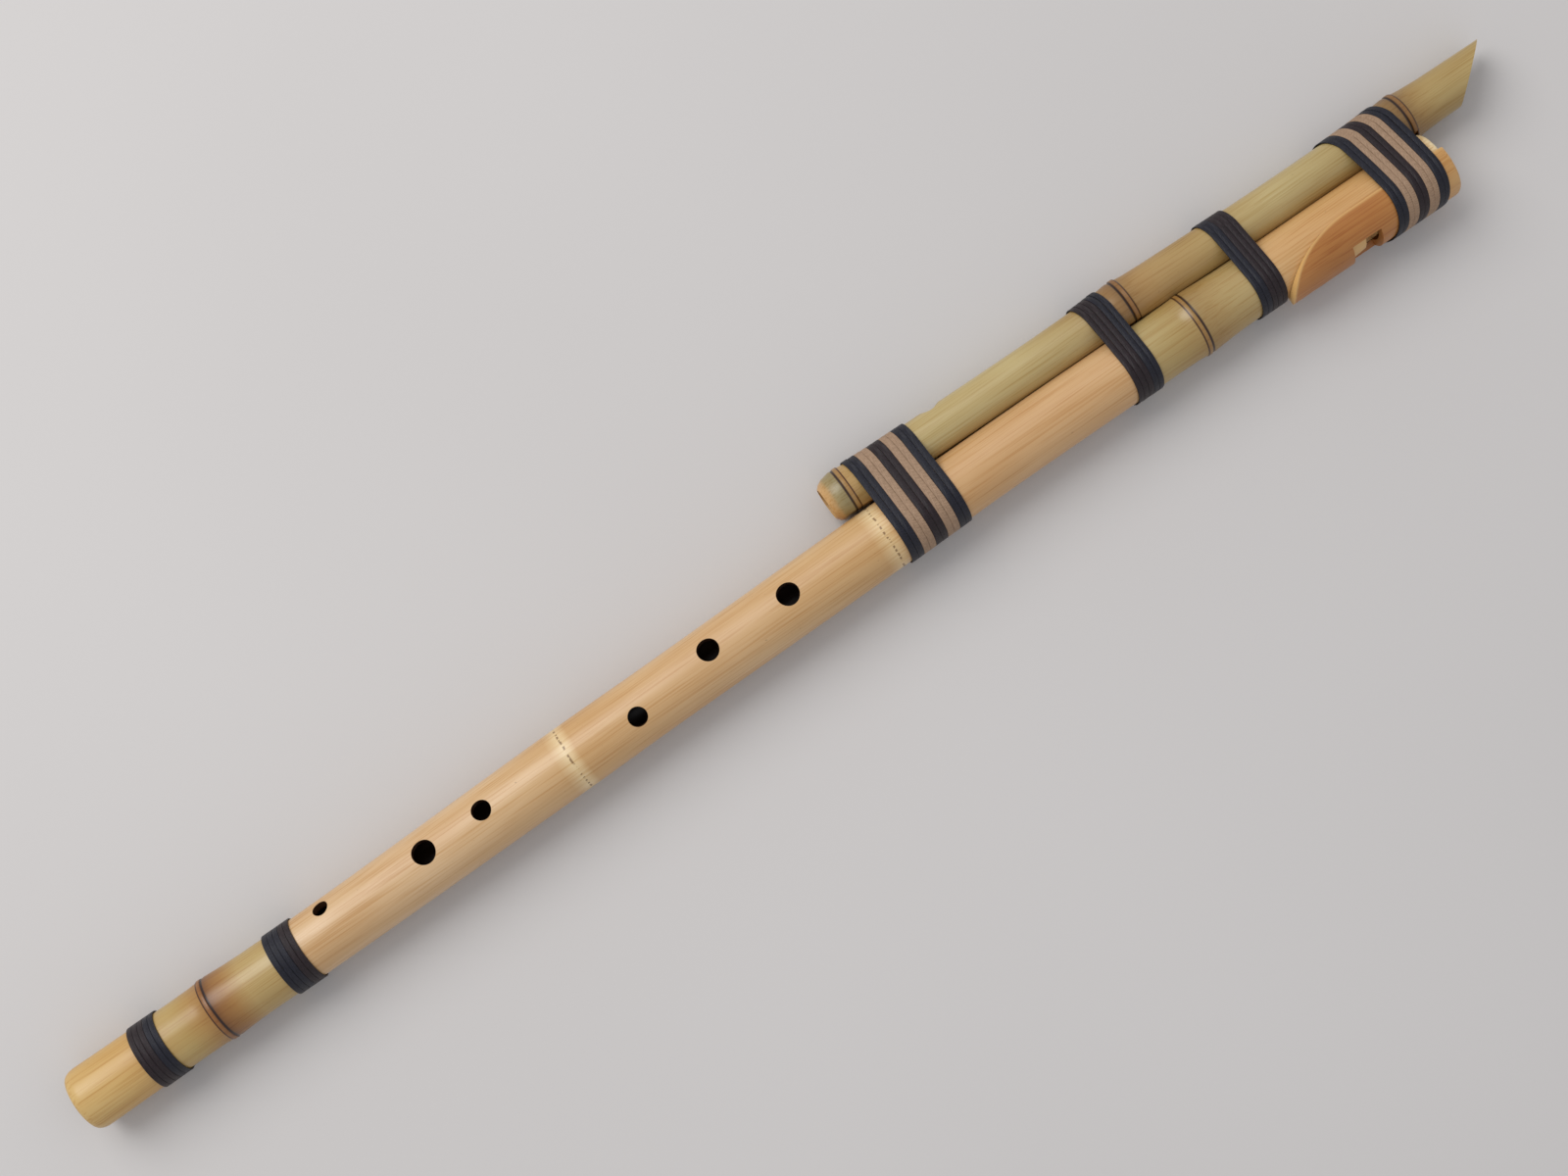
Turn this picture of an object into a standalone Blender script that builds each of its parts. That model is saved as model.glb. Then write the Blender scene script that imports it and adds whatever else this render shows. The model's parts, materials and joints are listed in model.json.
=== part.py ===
"""Moseno: a long cane duct flute with a thinner blow tube laced beside its upper half.

Metres, +Z up. The flute lies on a flat surface at z = 0. X runs from the foot to the head, and the blow
tube is on the +Y side. While the parts are made, x = 0 is the foot end; the last step moves the origin to
the middle of the base.
"""

import math

import bmesh
import bpy
from mathutils import Matrix, Vector

# Clearances
SEAT_GAP = 0.0003

# Main tube: cane, measured from the foot end
MAIN_LENGTH = 0.6381
MAIN_BORE_RADIUS = 0.0098
MAIN_RADII = (
    (0.000, 0.01295),
    (0.046, 0.01265),
    (0.110, 0.01265),
    (0.228, 0.01340),
    (0.270, 0.01315),
    (0.376, 0.01350),
    (0.420, 0.01315),
    (0.523, 0.01305),
    (0.547, 0.01265),
    (0.638, 0.01280),
)
MAIN_BOW = (
    (0.000, 0.0000),
    (0.062, -0.0001),
    (0.115, -0.0004),
    (0.228, 0.0009),
    (0.376, 0.0019),
    (0.440, 0.0021),
    (0.523, 0.0014),
    (0.638, 0.0000),
)
MAIN_RAISED_NODES = (0.0625, 0.5222)
MAIN_NODE_RISE = 0.0008
RIM_ROUND_LENGTH = 0.0045
RIM_ROUND_DEPTH = 0.0020
MAIN_SIDES = 32
STATION_SPACING = 0.052

# Finger holes: distance from the foot, diameter, degrees from the top towards the blow tube
FINGER_HOLES = (
    (0.1173, 0.0066, 49.0),
    (0.1622, 0.0098, 18.6),
    (0.1892, 0.0081, 19.4),
    (0.2583, 0.0079, -6.2),
    (0.2948, 0.0091, 18.2),
    (0.3321, 0.0094, 16.9),
)

# Blow tube: cane, measured from its own lower end, which lies below the head end of the main tube
BLOW_START_FROM_HEAD = 0.2730
BLOW_LENGTH = 0.3162
BLOW_BORE_RADIUS = 0.0066
BLOW_RADII = (
    (0.000, 0.0086),
    (0.0035, 0.0093),
    (0.009, 0.0096),
    (0.021, 0.0093),
    (0.060, 0.0091),
    (0.105, 0.00915),
    (0.141, 0.0099),
    (0.163, 0.0096),
    (0.195, 0.0091),
    (0.223, 0.0090),
    (0.245, 0.0093),
    (0.272, 0.0099),
    (0.286, 0.00945),
    (0.316, 0.0092),
)
BLOW_NODES = ((0.0093, 0.0008), (0.1405, 0.0012), (0.2723, 0.0010))
BLOW_END_CHAMFER = 0.0018
BLOW_SIDES = 24
BORE_SIDES = 20
SEPTUM_THICKNESS = 0.0022
BLOW_HOLE_FROM_END = 0.0543
BLOW_HOLE_DIAMETER = 0.0087
TAIL_SLANT = 1.13
TAIL_LEAN = 0.30
SEAT_DEPTH_LOW = 0.0001
SEAT_DEPTH_HIGH = 0.0013

# Windway cover: cane shell, placed from the head end; angles are degrees from the top
COVER_TURN = -76.0
COVER_HALF_SPAN = 87.5
COVER_NOSE_FROM_HEAD = 0.0786
COVER_NOSE_LENGTH = 0.0343
COVER_OVERHANG = 0.0009
COVER_CROWN_RISE = 0.0034
COVER_EDGE_RISE = 0.0013
COVER_END_ROUND = 0.0012

# Head: window, windway and air chamber, placed from the head end
WINDOW_FROM_HEAD = 0.0364
WINDOW_LENGTH = 0.0134
WINDOW_HALF_ANGLE = 30.0
RAMP_LENGTH = 0.0072
RAMP_START_DEPTH = 0.0009
LIP_THICKNESS = 0.0005
WINDWAY_LENGTH = 0.0150
WINDWAY_DEPTH = 0.0011
BLOCK_LENGTH = 0.0070
PLUG_LENGTH = 0.0090
AIR_EXIT_DIAMETER = 0.0080
AIR_EXIT_FROM_BLOCK = 0.0055
AIR_JOINT_FROM_HEAD = 0.0190
AIR_JOINT_RADIUS = 0.0035
AIR_JOINT_BORE_RADIUS = 0.0025

# Laces: flat waxed cord wound round the tubes
LACE_THICKNESS = 0.0005
LOOP_POINTS = 24
STEP_FROM = 0.84
SKEW_PEAK = 0.42

NAVY = (0.016, 0.019, 0.035)
BROWN = (0.026, 0.013, 0.011)
TAN = (0.43, 0.29, 0.19)
CANE = (0.60, 0.37, 0.15)
CANE_GREENISH = (0.55, 0.40, 0.17)
CANE_ORANGE = (0.55, 0.28, 0.09)
STOPPER_WOOD = (0.42, 0.24, 0.11)


def between(table, x):
    """Value of a smooth curve through the (station, value) pairs of the table."""
    stations = [row[0] for row in table]
    values = [row[1] for row in table]
    x = min(max(x, stations[0]), stations[-1])
    last = len(table) - 2
    i = next(k for k in range(last + 1) if x <= stations[k + 1] or k == last)

    def slope(k):
        low, high = max(k - 1, 0), min(k + 1, len(table) - 1)
        return (values[high] - values[low]) / (stations[high] - stations[low])

    width = stations[i + 1] - stations[i]
    u = (x - stations[i]) / width
    rise = values[i + 1] - values[i]
    start, end = slope(i) * width, slope(i + 1) * width
    return values[i] + u * (start + u * (3 * rise - 2 * start - end + u * (start + end - 2 * rise)))


def smooth_step(u):
    u = min(max(u, 0.0), 1.0)
    return u * u * (3.0 - 2.0 * u)


def direction(degrees):
    """Unit vector across the tube, at an angle from the top towards +Y."""
    turn = math.radians(degrees)
    return Vector((0.0, math.sin(turn), math.cos(turn)))


def node_swell(distance, mirrored):
    """Share of a cane joint's rise at a distance from it: a narrow sheath ring, a groove, a soft swelling."""
    shape = (
        (-0.0140, 0.00),
        (-0.0060, 0.12),
        (-0.0020, 0.42),
        (-0.0012, 1.00),
        (0.0003, 0.96),
        (0.0008, 0.52),
        (0.0022, 0.78),
        (0.0060, 0.48),
        (0.0110, 0.16),
        (0.0180, 0.00),
    )
    side = -1.0 if mirrored else 1.0
    return [(distance + side * offset, share) for offset, share in shape][:: int(side)]


def cane_profile(length, radii, nodes, mirrored, bends=()):
    """Outer profile of a cane tube: stations along it, with each raised joint's swelling and each bend."""
    swells = {}
    for place, rise in nodes:
        for x, share in node_swell(place, mirrored):
            if 0.0 < x < length:
                swells[x] = share * rise
    clear = 0.016
    plain = [k * STATION_SPACING for k in range(1, int(length / STATION_SPACING) + 1)]
    plain = [x for x in plain if all(abs(x - place) > clear for place, _ in nodes)]
    stations = sorted(set(plain) | set(swells) | set(bends))
    return [(x, between(radii, x) + swells.get(x, 0.0)) for x in stations]


# Places worked out from the driving dimensions
LACE_RISE = SEAT_GAP + LACE_THICKNESS
NOSE_X = MAIN_LENGTH - COVER_NOSE_FROM_HEAD
COVER_END_X = MAIN_LENGTH + COVER_OVERHANG
WINDOW_HEAD_X = MAIN_LENGTH - WINDOW_FROM_HEAD
WINDOW_FOOT_X = WINDOW_HEAD_X - WINDOW_LENGTH
BLOCK_END_X = WINDOW_HEAD_X + BLOCK_LENGTH
BLOW_START_X = MAIN_LENGTH - BLOW_START_FROM_HEAD
AIR_JOINT_X = MAIN_LENGTH - AIR_JOINT_FROM_HEAD
BLOW_AXIS_Z = max(between(BLOW_RADII, place) + rise for place, rise in BLOW_NODES)
HEAD_BENDS = [NOSE_X + COVER_NOSE_LENGTH * k / 4.0 for k in range(5)]
MAIN_SIDE = cane_profile(
    MAIN_LENGTH,
    MAIN_RADII,
    [(place, MAIN_NODE_RISE) for place in MAIN_RAISED_NODES],
    mirrored=False,
    bends=HEAD_BENDS,
)
BLOW_SIDE = [
    (BLOW_START_X + x, radius)
    for x, radius in cane_profile(BLOW_LENGTH + 0.01, BLOW_RADII, BLOW_NODES, mirrored=True)
]


def main_radius(x):
    return between(MAIN_RADII, x)


def blow_radius(x):
    return between(BLOW_RADII, x - BLOW_START_X)


def widest(side, x, half_width):
    """Largest radius that a tube's side has within a lace's width of this station."""
    spots = [place for place, _ in side if abs(place - x) < half_width] + [x - half_width, x + half_width]
    found = []
    for spot in spots:
        spot = min(max(spot, side[0][0]), side[-1][0])
        k = next(i for i in range(len(side) - 1) if spot <= side[i + 1][0])
        (ax, ar), (bx, br) = side[k], side[k + 1]
        found.append(ar + (br - ar) * (spot - ax) / (bx - ax))
    return max(found)


def cover_circle(x):
    """Radius of the cover's outer circle, and how far its centre lies from the tube's axis."""
    crown = main_radius(x) + COVER_CROWN_RISE
    edge = main_radius(x) + COVER_EDGE_RISE
    shift = (crown**2 - edge**2) / (2.0 * crown)
    return crown - shift, shift


def cover_radius(x, degrees):
    """Distance from the tube's axis to the cover's outer face, at an angle from its crown."""
    radius, shift = cover_circle(x)
    turn = math.radians(degrees)
    return shift * math.cos(turn) + math.sqrt(radius**2 - (shift * math.sin(turn)) ** 2)


# The cover's lower edge reaches below the tube, so the head lies a little higher than the rest
LOWER_EDGE_TURN = math.radians(180.0 + COVER_TURN - COVER_HALF_SPAN)
HEAD_LIFT = max(
    cover_radius(AIR_JOINT_X, COVER_HALF_SPAN) * math.cos(LOWER_EDGE_TURN)
    - main_radius(AIR_JOINT_X)
    + SEAT_GAP / 2.0,
    0.0,
)


def main_centre(x):
    """Point on the main tube's gently bowed axis."""
    lift = HEAD_LIFT * smooth_step((x - NOSE_X) / COVER_NOSE_LENGTH)
    return Vector((x, between(MAIN_BOW, x), main_radius(x) + LACE_RISE + lift))


def tube_spacing(x, seat_depth):
    """Sideways distance between the two axes where the tubes are seated this deep in each other."""
    reach = main_radius(x) + blow_radius(x) + SEAT_GAP - seat_depth
    height = main_centre(x).z - BLOW_AXIS_Z
    return math.sqrt(reach**2 - height**2)


SEAT_LOW_X = BLOW_START_X + BLOW_HOLE_FROM_END
BLOW_Y_LOW = main_centre(SEAT_LOW_X).y + tube_spacing(SEAT_LOW_X, SEAT_DEPTH_LOW)
BLOW_Y_HIGH = main_centre(AIR_JOINT_X).y + tube_spacing(AIR_JOINT_X, SEAT_DEPTH_HIGH)


def blow_centre(x):
    """Point on the blow tube's straight axis."""
    share = (x - SEAT_LOW_X) / (AIR_JOINT_X - SEAT_LOW_X)
    return Vector((x, BLOW_Y_LOW + share * (BLOW_Y_HIGH - BLOW_Y_LOW), BLOW_AXIS_Z))


def clear_scene():
    for obj in list(bpy.data.objects):
        bpy.data.objects.remove(obj, do_unlink=True)
    for name in ("Moseno", "Cutters"):
        bpy.context.scene.collection.children.link(bpy.data.collections.new(name))


def material(name, colour, roughness):
    found = bpy.data.materials.get(name)
    if found:
        return found
    made = bpy.data.materials.new(name)
    made.use_nodes = True
    shader = made.node_tree.nodes["Principled BSDF"]
    shader.inputs["Base Color"].default_value = (*colour, 1.0)
    shader.inputs["Roughness"].default_value = roughness
    shader.inputs["Metallic"].default_value = 0.0
    return made


def add_object(name, data, collection):
    obj = bpy.data.objects.new(name, data)
    bpy.data.collections[collection].objects.link(obj)
    return obj


def add_cutter(name, mesh):
    cutter = add_object(name, mesh, "Cutters")
    cutter.hide_render = True
    cutter.display_type = "WIRE"
    return cutter


def cut(obj, cutter):
    boolean = obj.modifiers.new(cutter.name, "BOOLEAN")
    boolean.operation = "DIFFERENCE"
    boolean.solver = "EXACT"
    boolean.object = cutter


def finish(obj, skin):
    """Give a part its material and smooth its round faces."""
    obj.data.materials.clear()
    obj.data.materials.append(skin)
    obj.data.shade_smooth()
    obj.data.set_sharp_from_angle(angle=math.radians(35.0))
    return obj


def evaluated_mesh(obj, name):
    """The mesh that the object's modifiers make."""
    graph = bpy.context.evaluated_depsgraph_get()
    mesh = bpy.data.meshes.new_from_object(obj.evaluated_get(graph))
    mesh.name = name
    return mesh


def outward(mesh):
    """Weld a mesh's shared corners and point its faces out."""
    bm = bmesh.new()
    bm.from_mesh(mesh)
    bmesh.ops.remove_doubles(bm, verts=bm.verts, dist=1e-6)
    bmesh.ops.recalc_face_normals(bm, faces=bm.faces)
    bm.to_mesh(mesh)
    bm.free()
    return mesh


def turned_mesh(name, profile, sides, centre):
    """Turn a profile of (x, radius) points about X, then lay it along a tube's axis.

    A closed profile makes a tube; a profile whose ends lie on the axis makes a solid.
    """
    closed = profile[0][1] > 0.0
    bm = bmesh.new()
    points = [bm.verts.new((x, 0.0, radius)) for x, radius in profile]
    for a, b in zip(points, points[1:]):
        bm.edges.new((a, b))
    if closed:
        bm.edges.new((points[-1], points[0]))
    outline = bpy.data.meshes.new(name)
    bm.to_mesh(outline)
    bm.free()
    lathe = add_object(name + "_lathe", outline, "Cutters")
    screw = lathe.modifiers.new("Turn", "SCREW")
    screw.axis = "X"
    screw.steps = sides
    screw.render_steps = sides
    screw.use_merge_vertices = True
    screw.merge_threshold = 1e-6
    mesh = outward(evaluated_mesh(lathe, name))
    bpy.data.objects.remove(lathe, do_unlink=True)
    for vertex in mesh.vertices:
        vertex.co += Vector((0.0, *centre(vertex.co.x).yz))
    return mesh


def loft_mesh(name, rings):
    """Skin a row of rings that have equal numbers of points, and close both ends."""
    bm = bmesh.new()
    rows = [[bm.verts.new(point) for point in ring] for ring in rings]
    for near, far in zip(rows, rows[1:]):
        for i in range(len(near)):
            j = (i + 1) % len(near)
            bm.faces.new((near[i], near[j], far[j], far[i]))
    bm.faces.new(rows[0])
    bm.faces.new(reversed(rows[-1]))
    mesh = bpy.data.meshes.new(name)
    bm.to_mesh(mesh)
    bm.free()
    return outward(mesh)


def drill(name, start, along, radius, length, sides=16):
    """A round cutter from a start point along a direction."""
    bm = bmesh.new()
    bmesh.ops.create_cone(
        bm, cap_ends=True, segments=sides, radius1=radius, radius2=radius, depth=length
    )
    turn = along.to_track_quat("Z", "Y").to_matrix().to_4x4()
    place = Matrix.Translation(start + along * (length / 2.0))
    bmesh.ops.transform(bm, matrix=place @ turn, verts=bm.verts)
    mesh = bpy.data.meshes.new(name)
    bm.to_mesh(mesh)
    bm.free()
    return add_cutter(name, mesh)


def rounded_rim(end_x, inward, radius, length, depth, steps=4):
    """Quarter-oval rim, from the flat end face out to the tube's side."""
    points = []
    for k in range(steps + 1):
        turn = math.radians(90.0) * k / steps
        x = end_x + inward * length * (1.0 - math.cos(turn))
        points.append((x, radius - depth + depth * math.sin(turn)))
    return points


def sector_ring(x, half_angle, inner, outer, steps=8):
    """Cross-section of a curved shell about the main tube, centred on the cover's crown."""
    centre = main_centre(x)
    turns = [half_angle * (2.0 * k / steps - 1.0) for k in range(steps + 1)]
    outside = [centre + direction(COVER_TURN + turn) * outer(turn) for turn in turns]
    inside = [centre + direction(COVER_TURN + turn) * inner(turn) for turn in reversed(turns)]
    return outside + inside


def window_cutter():
    """The window: a ramp that sinks to the lip, then a way through to the bore."""
    half = WINDOW_HALF_ANGLE
    above = COVER_CROWN_RISE + 0.002
    lip_x = WINDOW_FOOT_X + RAMP_LENGTH
    lip_radius = main_radius(lip_x) + SEAT_GAP + LIP_THICKNESS
    start_radius = main_radius(WINDOW_FOOT_X) + COVER_CROWN_RISE - RAMP_START_DEPTH
    through = MAIN_BORE_RADIUS - 0.002
    floors = (
        (WINDOW_FOOT_X, start_radius),
        (lip_x, lip_radius),
        (lip_x + 1e-5, through),
        (WINDOW_HEAD_X, through),
    )
    rings = []
    for x, floor in floors:
        top = main_radius(x) + above
        rings.append(sector_ring(x, half, lambda _, r=floor: r, lambda _, r=top: r))
    return add_cutter("window_cutter", loft_mesh("window_cutter", rings))


def windway_cutter():
    """The shallow curved channel in the main tube, under the cover, that ends at the window."""
    rings = []
    for x in (WINDOW_HEAD_X - 0.0005, WINDOW_HEAD_X + WINDWAY_LENGTH):
        floor = main_radius(x) - WINDWAY_DEPTH
        top = main_radius(x) + 0.002
        rings.append(
            sector_ring(x, WINDOW_HALF_ANGLE, lambda _, r=floor: r, lambda _, r=top: r)
        )
    return add_cutter("windway_cutter", loft_mesh("windway_cutter", rings))


def mating_direction():
    """Unit vector from the blow tube's axis to the main tube's axis, where the air joint is."""
    way = main_centre(AIR_JOINT_X) - blow_centre(AIR_JOINT_X)
    return way.normalized()


def mating_cutter(name, distance, towards_main):
    """Block that planes a flat along one tube, this far from the blow tube's axis."""
    size = 0.03
    start = blow_centre(BLOW_START_X - 0.005)
    end = blow_centre(MAIN_LENGTH + 0.005)
    way = mating_direction()
    up = Vector((1.0, 0.0, 0.0)).cross(way)
    near, far = (distance, distance + size) if towards_main else (distance, distance - size)
    rings = []
    for centre in (start, end):
        corners = ((near, -size), (far, -size), (far, size), (near, size))
        rings.append([centre + way * reach + up * rise for reach, rise in corners])
    return add_cutter(name, loft_mesh(name, rings))


def air_joint_drill():
    way = -mating_direction()
    start = main_centre(AIR_JOINT_X) + way * (MAIN_BORE_RADIUS - 0.003)
    return drill("air_joint_drill", start, way, AIR_JOINT_RADIUS + SEAT_GAP, 0.012)


def make_main_tube(window, windway, joint_drill):
    head_radius = main_radius(MAIN_LENGTH)
    foot_rim = rounded_rim(0.0, 1.0, main_radius(0.0), RIM_ROUND_LENGTH, RIM_ROUND_DEPTH)
    head_rim = rounded_rim(MAIN_LENGTH, -1.0, head_radius, 0.0030, 0.0015)
    side = [point for point in MAIN_SIDE if foot_rim[-1][0] < point[0] < head_rim[-1][0] - 0.002]
    bore_stations = int(MAIN_LENGTH / STATION_SPACING) + 1
    bore = [(MAIN_LENGTH * k / bore_stations, MAIN_BORE_RADIUS) for k in range(bore_stations + 1)]
    profile = foot_rim + side + head_rim[::-1] + bore[::-1]
    tube = add_object(
        "main_tube", turned_mesh("main_tube", profile, MAIN_SIDES, main_centre), "Moseno"
    )
    for number, (x, diameter, turn) in enumerate(FINGER_HOLES, start=1):
        start = main_centre(x) + direction(turn) * (MAIN_BORE_RADIUS / 2.0)
        cut(tube, drill(f"finger_hole_{number}", start, direction(turn), diameter / 2.0, 0.014))
    exit_x = BLOCK_END_X + AIR_EXIT_FROM_BLOCK
    exit_start = main_centre(exit_x) + direction(COVER_TURN) * (MAIN_BORE_RADIUS / 2.0)
    air_exit = drill("air_exit", exit_start, direction(COVER_TURN), AIR_EXIT_DIAMETER / 2.0, 0.012)
    flat = mating_cutter("main_flat", between(BLOW_RADII, 0.06), towards_main=False)
    for cutter in (window, windway, air_exit, joint_drill, flat):
        cut(tube, cutter)
    return finish(tube, material("scraped cane", CANE, 0.38))


def make_windway_cover(window):
    nose_steps = 9
    stations = []
    for k in range(1, nose_steps + 1):
        turn = math.radians(90.0) * k / nose_steps
        x = NOSE_X + COVER_NOSE_LENGTH * (1.0 - math.cos(turn))
        stations.append((x, COVER_HALF_SPAN * math.sin(turn), 0.0))
    straight = COVER_END_X - COVER_END_ROUND - stations[-1][0]
    for k in range(1, 4):
        stations.append((stations[nose_steps - 1][0] + straight * k / 3.0, COVER_HALF_SPAN, 0.0))
    stations.append((COVER_END_X, COVER_HALF_SPAN, COVER_END_ROUND * 0.6))
    rings = []
    for x, span, drop in stations:
        inside = main_radius(x) + SEAT_GAP
        rings.append(
            sector_ring(
                x,
                span,
                lambda _, r=inside: r,
                lambda turn, x=x, drop=drop: cover_radius(x, turn) - drop,
                steps=14,
            )
        )
    cover = add_object("windway_cover", loft_mesh("windway_cover", rings), "Moseno")
    cut(cover, window)
    return finish(cover, material("orange cane", CANE_ORANGE, 0.4))


def blow_profile():
    """Outer profile of the blow tube, from the chamfered lower end to past its tail."""
    side = [(x - BLOW_START_X, radius) for x, radius in BLOW_SIDE]
    side = [point for point in side if point[0] > 0.0036]
    end_radius = between(BLOW_RADII, 0.0) - BLOW_END_CHAMFER
    tail = BLOW_LENGTH + 0.012
    points = [
        (0.0, 0.0),
        (0.0, end_radius),
        (0.0012, end_radius + BLOW_END_CHAMFER * 0.75),
        (0.0032, between(BLOW_RADII, 0.0032)),
        *side,
        (tail, between(BLOW_RADII, BLOW_LENGTH)),
        (tail, 0.0),
    ]
    return [(BLOW_START_X + x, radius) for x, radius in points]


def bore_cutter(name, start, end, radius):
    """Round cutter along the blow tube's axis, with slightly domed ends."""
    dome = 0.0015
    profile = [
        (start, 0.0),
        (start + dome * 0.3, radius * 0.8),
        (start + dome, radius),
        (end - dome, radius),
        (end - dome * 0.3, radius * 0.8),
        (end, 0.0),
    ]
    return add_cutter(name, turned_mesh(name, profile, BORE_SIDES, blow_centre))


def tail_cutter():
    """Block beyond the slant cut of the tail, which is longest on the outer side."""
    size = 0.04
    tip = blow_centre(BLOW_START_X + BLOW_LENGTH)
    tip.y += between(BLOW_RADII, BLOW_LENGTH)
    face = Vector((1.0, -TAIL_SLANT, TAIL_LEAN)).normalized()
    along = Vector((TAIL_SLANT, 1.0, 0.0)).normalized()
    up = face.cross(along)
    rings = []
    for reach in (0.0, size):
        corners = ((-size, -size), (size, -size), (size, size), (-size, size))
        rings.append([tip + face * reach + along * a + up * b for a, b in corners])
    return add_cutter("tail_cut", loft_mesh("tail_cut", rings))


def make_blow_tube(joint_drill):
    mesh = turned_mesh("blow_tube", blow_profile(), BLOW_SIDES, blow_centre)
    tube = add_object("blow_tube", mesh, "Moseno")
    low, _, high = [BLOW_START_X + place for place, _ in BLOW_NODES]
    half = SEPTUM_THICKNESS / 2.0
    tail_end = BLOW_START_X + BLOW_LENGTH + 0.02
    bores = (
        bore_cutter("end_cup", BLOW_START_X - 0.01, low - half, BLOW_BORE_RADIUS),
        bore_cutter("air_bore", low + half, high - half, BLOW_BORE_RADIUS),
        bore_cutter("tail_bore", high + half, tail_end, BLOW_BORE_RADIUS),
    )
    for cutter in bores:
        cut(tube, cutter)
    hole_x = BLOW_START_X + BLOW_HOLE_FROM_END
    outward_way = direction(90.0)
    hole = drill(
        "blow_hole", blow_centre(hole_x) + outward_way * 0.003, outward_way, BLOW_HOLE_DIAMETER / 2.0, 0.012
    )
    flat_distance = between(BLOW_RADII, 0.06) - SEAT_GAP
    flat = mating_cutter("blow_flat", flat_distance, towards_main=True)
    for cutter in (hole, joint_drill, flat, tail_cutter()):
        cut(tube, cutter)
    return finish(tube, material("cane with its skin", CANE_GREENISH, 0.42))


def make_stopper(name, start, end):
    radius = MAIN_BORE_RADIUS - SEAT_GAP
    profile = [(start, 0.0), (start, radius), (end, radius), (end, 0.0)]
    stopper = add_object(name, turned_mesh(name, profile, 32, main_centre), "Moseno")
    return finish(stopper, material("stopper wood", STOPPER_WOOD, 0.55))


def make_air_joint():
    """Bush that spans both walls and the seat between them."""
    way = mating_direction()
    start = blow_centre(AIR_JOINT_X) + way * (BLOW_BORE_RADIUS + SEAT_GAP)
    end = main_centre(AIR_JOINT_X) - way * (MAIN_BORE_RADIUS + SEAT_GAP)
    length = (end - start).length
    profile = [
        (0.0, AIR_JOINT_BORE_RADIUS),
        (0.0, AIR_JOINT_RADIUS),
        (length, AIR_JOINT_RADIUS),
        (length, AIR_JOINT_BORE_RADIUS),
    ]
    mesh = turned_mesh("air_joint", profile, 20, lambda x: Vector((x, 0.0, 0.0)))
    turn = way.to_track_quat("X", "Z").to_matrix().to_4x4()
    mesh.transform(Matrix.Translation(start) @ turn)
    joint = add_object("air_joint", mesh, "Moseno")
    return finish(joint, material("stopper wood", STOPPER_WOOD, 0.55))


def convex_outline(points, start):
    """Convex outline of (y, z) points, clockwise as seen from the head, from the one nearest the start."""
    points = sorted(set(points))

    def half(row):
        kept = []
        for p in row:
            while len(kept) > 1:
                (ay, az), (by, bz) = kept[-2], kept[-1]
                if (by - ay) * (p[1] - az) - (bz - az) * (p[0] - ay) > 0.0:
                    break
                kept.pop()
            kept.append(p)
        return kept[:-1]

    outline = half(points) + half(points[::-1])
    outline = outline[::-1]
    first = min(range(len(outline)), key=lambda k: math.dist(outline[k], start))
    return outline[first:] + outline[:first]


def lace_outline(x, width, round_both):
    """Points that a taut lace's middle passes at this station: the convex outline of what it binds."""
    stand_off = SEAT_GAP + LACE_THICKNESS / 2.0
    turns = range(0, 360, 5)
    centre = main_centre(x)
    reach_below = widest(MAIN_SIDE, x, width / 2.0) + stand_off
    points = [centre + direction(turn) * reach_below for turn in turns]
    if round_both:
        reach = widest(BLOW_SIDE, x, width / 2.0) + stand_off
        points += [blow_centre(x) + direction(turn) * reach for turn in turns]
    if x > NOSE_X + COVER_NOSE_LENGTH:
        for share in range(-18, 19):
            turn = COVER_HALF_SPAN * share / 18.0
            points.append(centre + direction(COVER_TURN + turn) * (cover_radius(x, turn) + stand_off))
    return convex_outline([(point.y, point.z) for point in points], (centre.y, centre.z - reach_below))


def spread_points(outline, count):
    """Evenly spread points on a closed outline, closer together where it turns."""
    size = len(outline)
    closed = outline + outline[:1]
    lengths = [math.dist(a, b) for a, b in zip(closed, closed[1:])]
    headings = [math.atan2(b[1] - a[1], b[0] - a[0]) for a, b in zip(closed, closed[1:])]
    around = sum(lengths)
    measure = [0.0]
    for k in range(size):
        turn = abs((headings[k] - headings[k - 1] + math.pi) % (2.0 * math.pi) - math.pi)
        following = abs((headings[(k + 1) % size] - headings[k] + math.pi) % (2.0 * math.pi) - math.pi)
        bend = (turn + following) / (4.0 * math.pi)
        measure.append(measure[-1] + lengths[k] / around + bend)
    found = []
    k = 0
    for i in range(count):
        wanted = measure[-1] * i / count
        while measure[k + 1] < wanted:
            k += 1
        share = (wanted - measure[k]) / (measure[k + 1] - measure[k])
        a, b = closed[k], closed[k + 1]
        found.append((a[0] + share * (b[0] - a[0]), a[1] + share * (b[1] - a[1])))
    return found


def winding_points(first_x, turns, pitch, width, skew, round_both):
    """Centre line of one lace: level turns that step over underneath, from the bottom of the main tube."""
    points = []
    last = (turns - 1) * LOOP_POINTS + int(STEP_FROM * LOOP_POINTS)
    for k in range(last + 1):
        loop, place = divmod(k, LOOP_POINTS)
        share = place / LOOP_POINTS
        step = smooth_step((share - STEP_FROM) / (1.0 - STEP_FROM))
        slant = math.cos(2.0 * math.pi * (share - SKEW_PEAK))
        x = first_x + pitch * (loop + step) + skew * slant
        y, z = spread_points(lace_outline(x, width, round_both), LOOP_POINTS)[place]
        points.append(Vector((x, y, z)))
    return points


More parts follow.
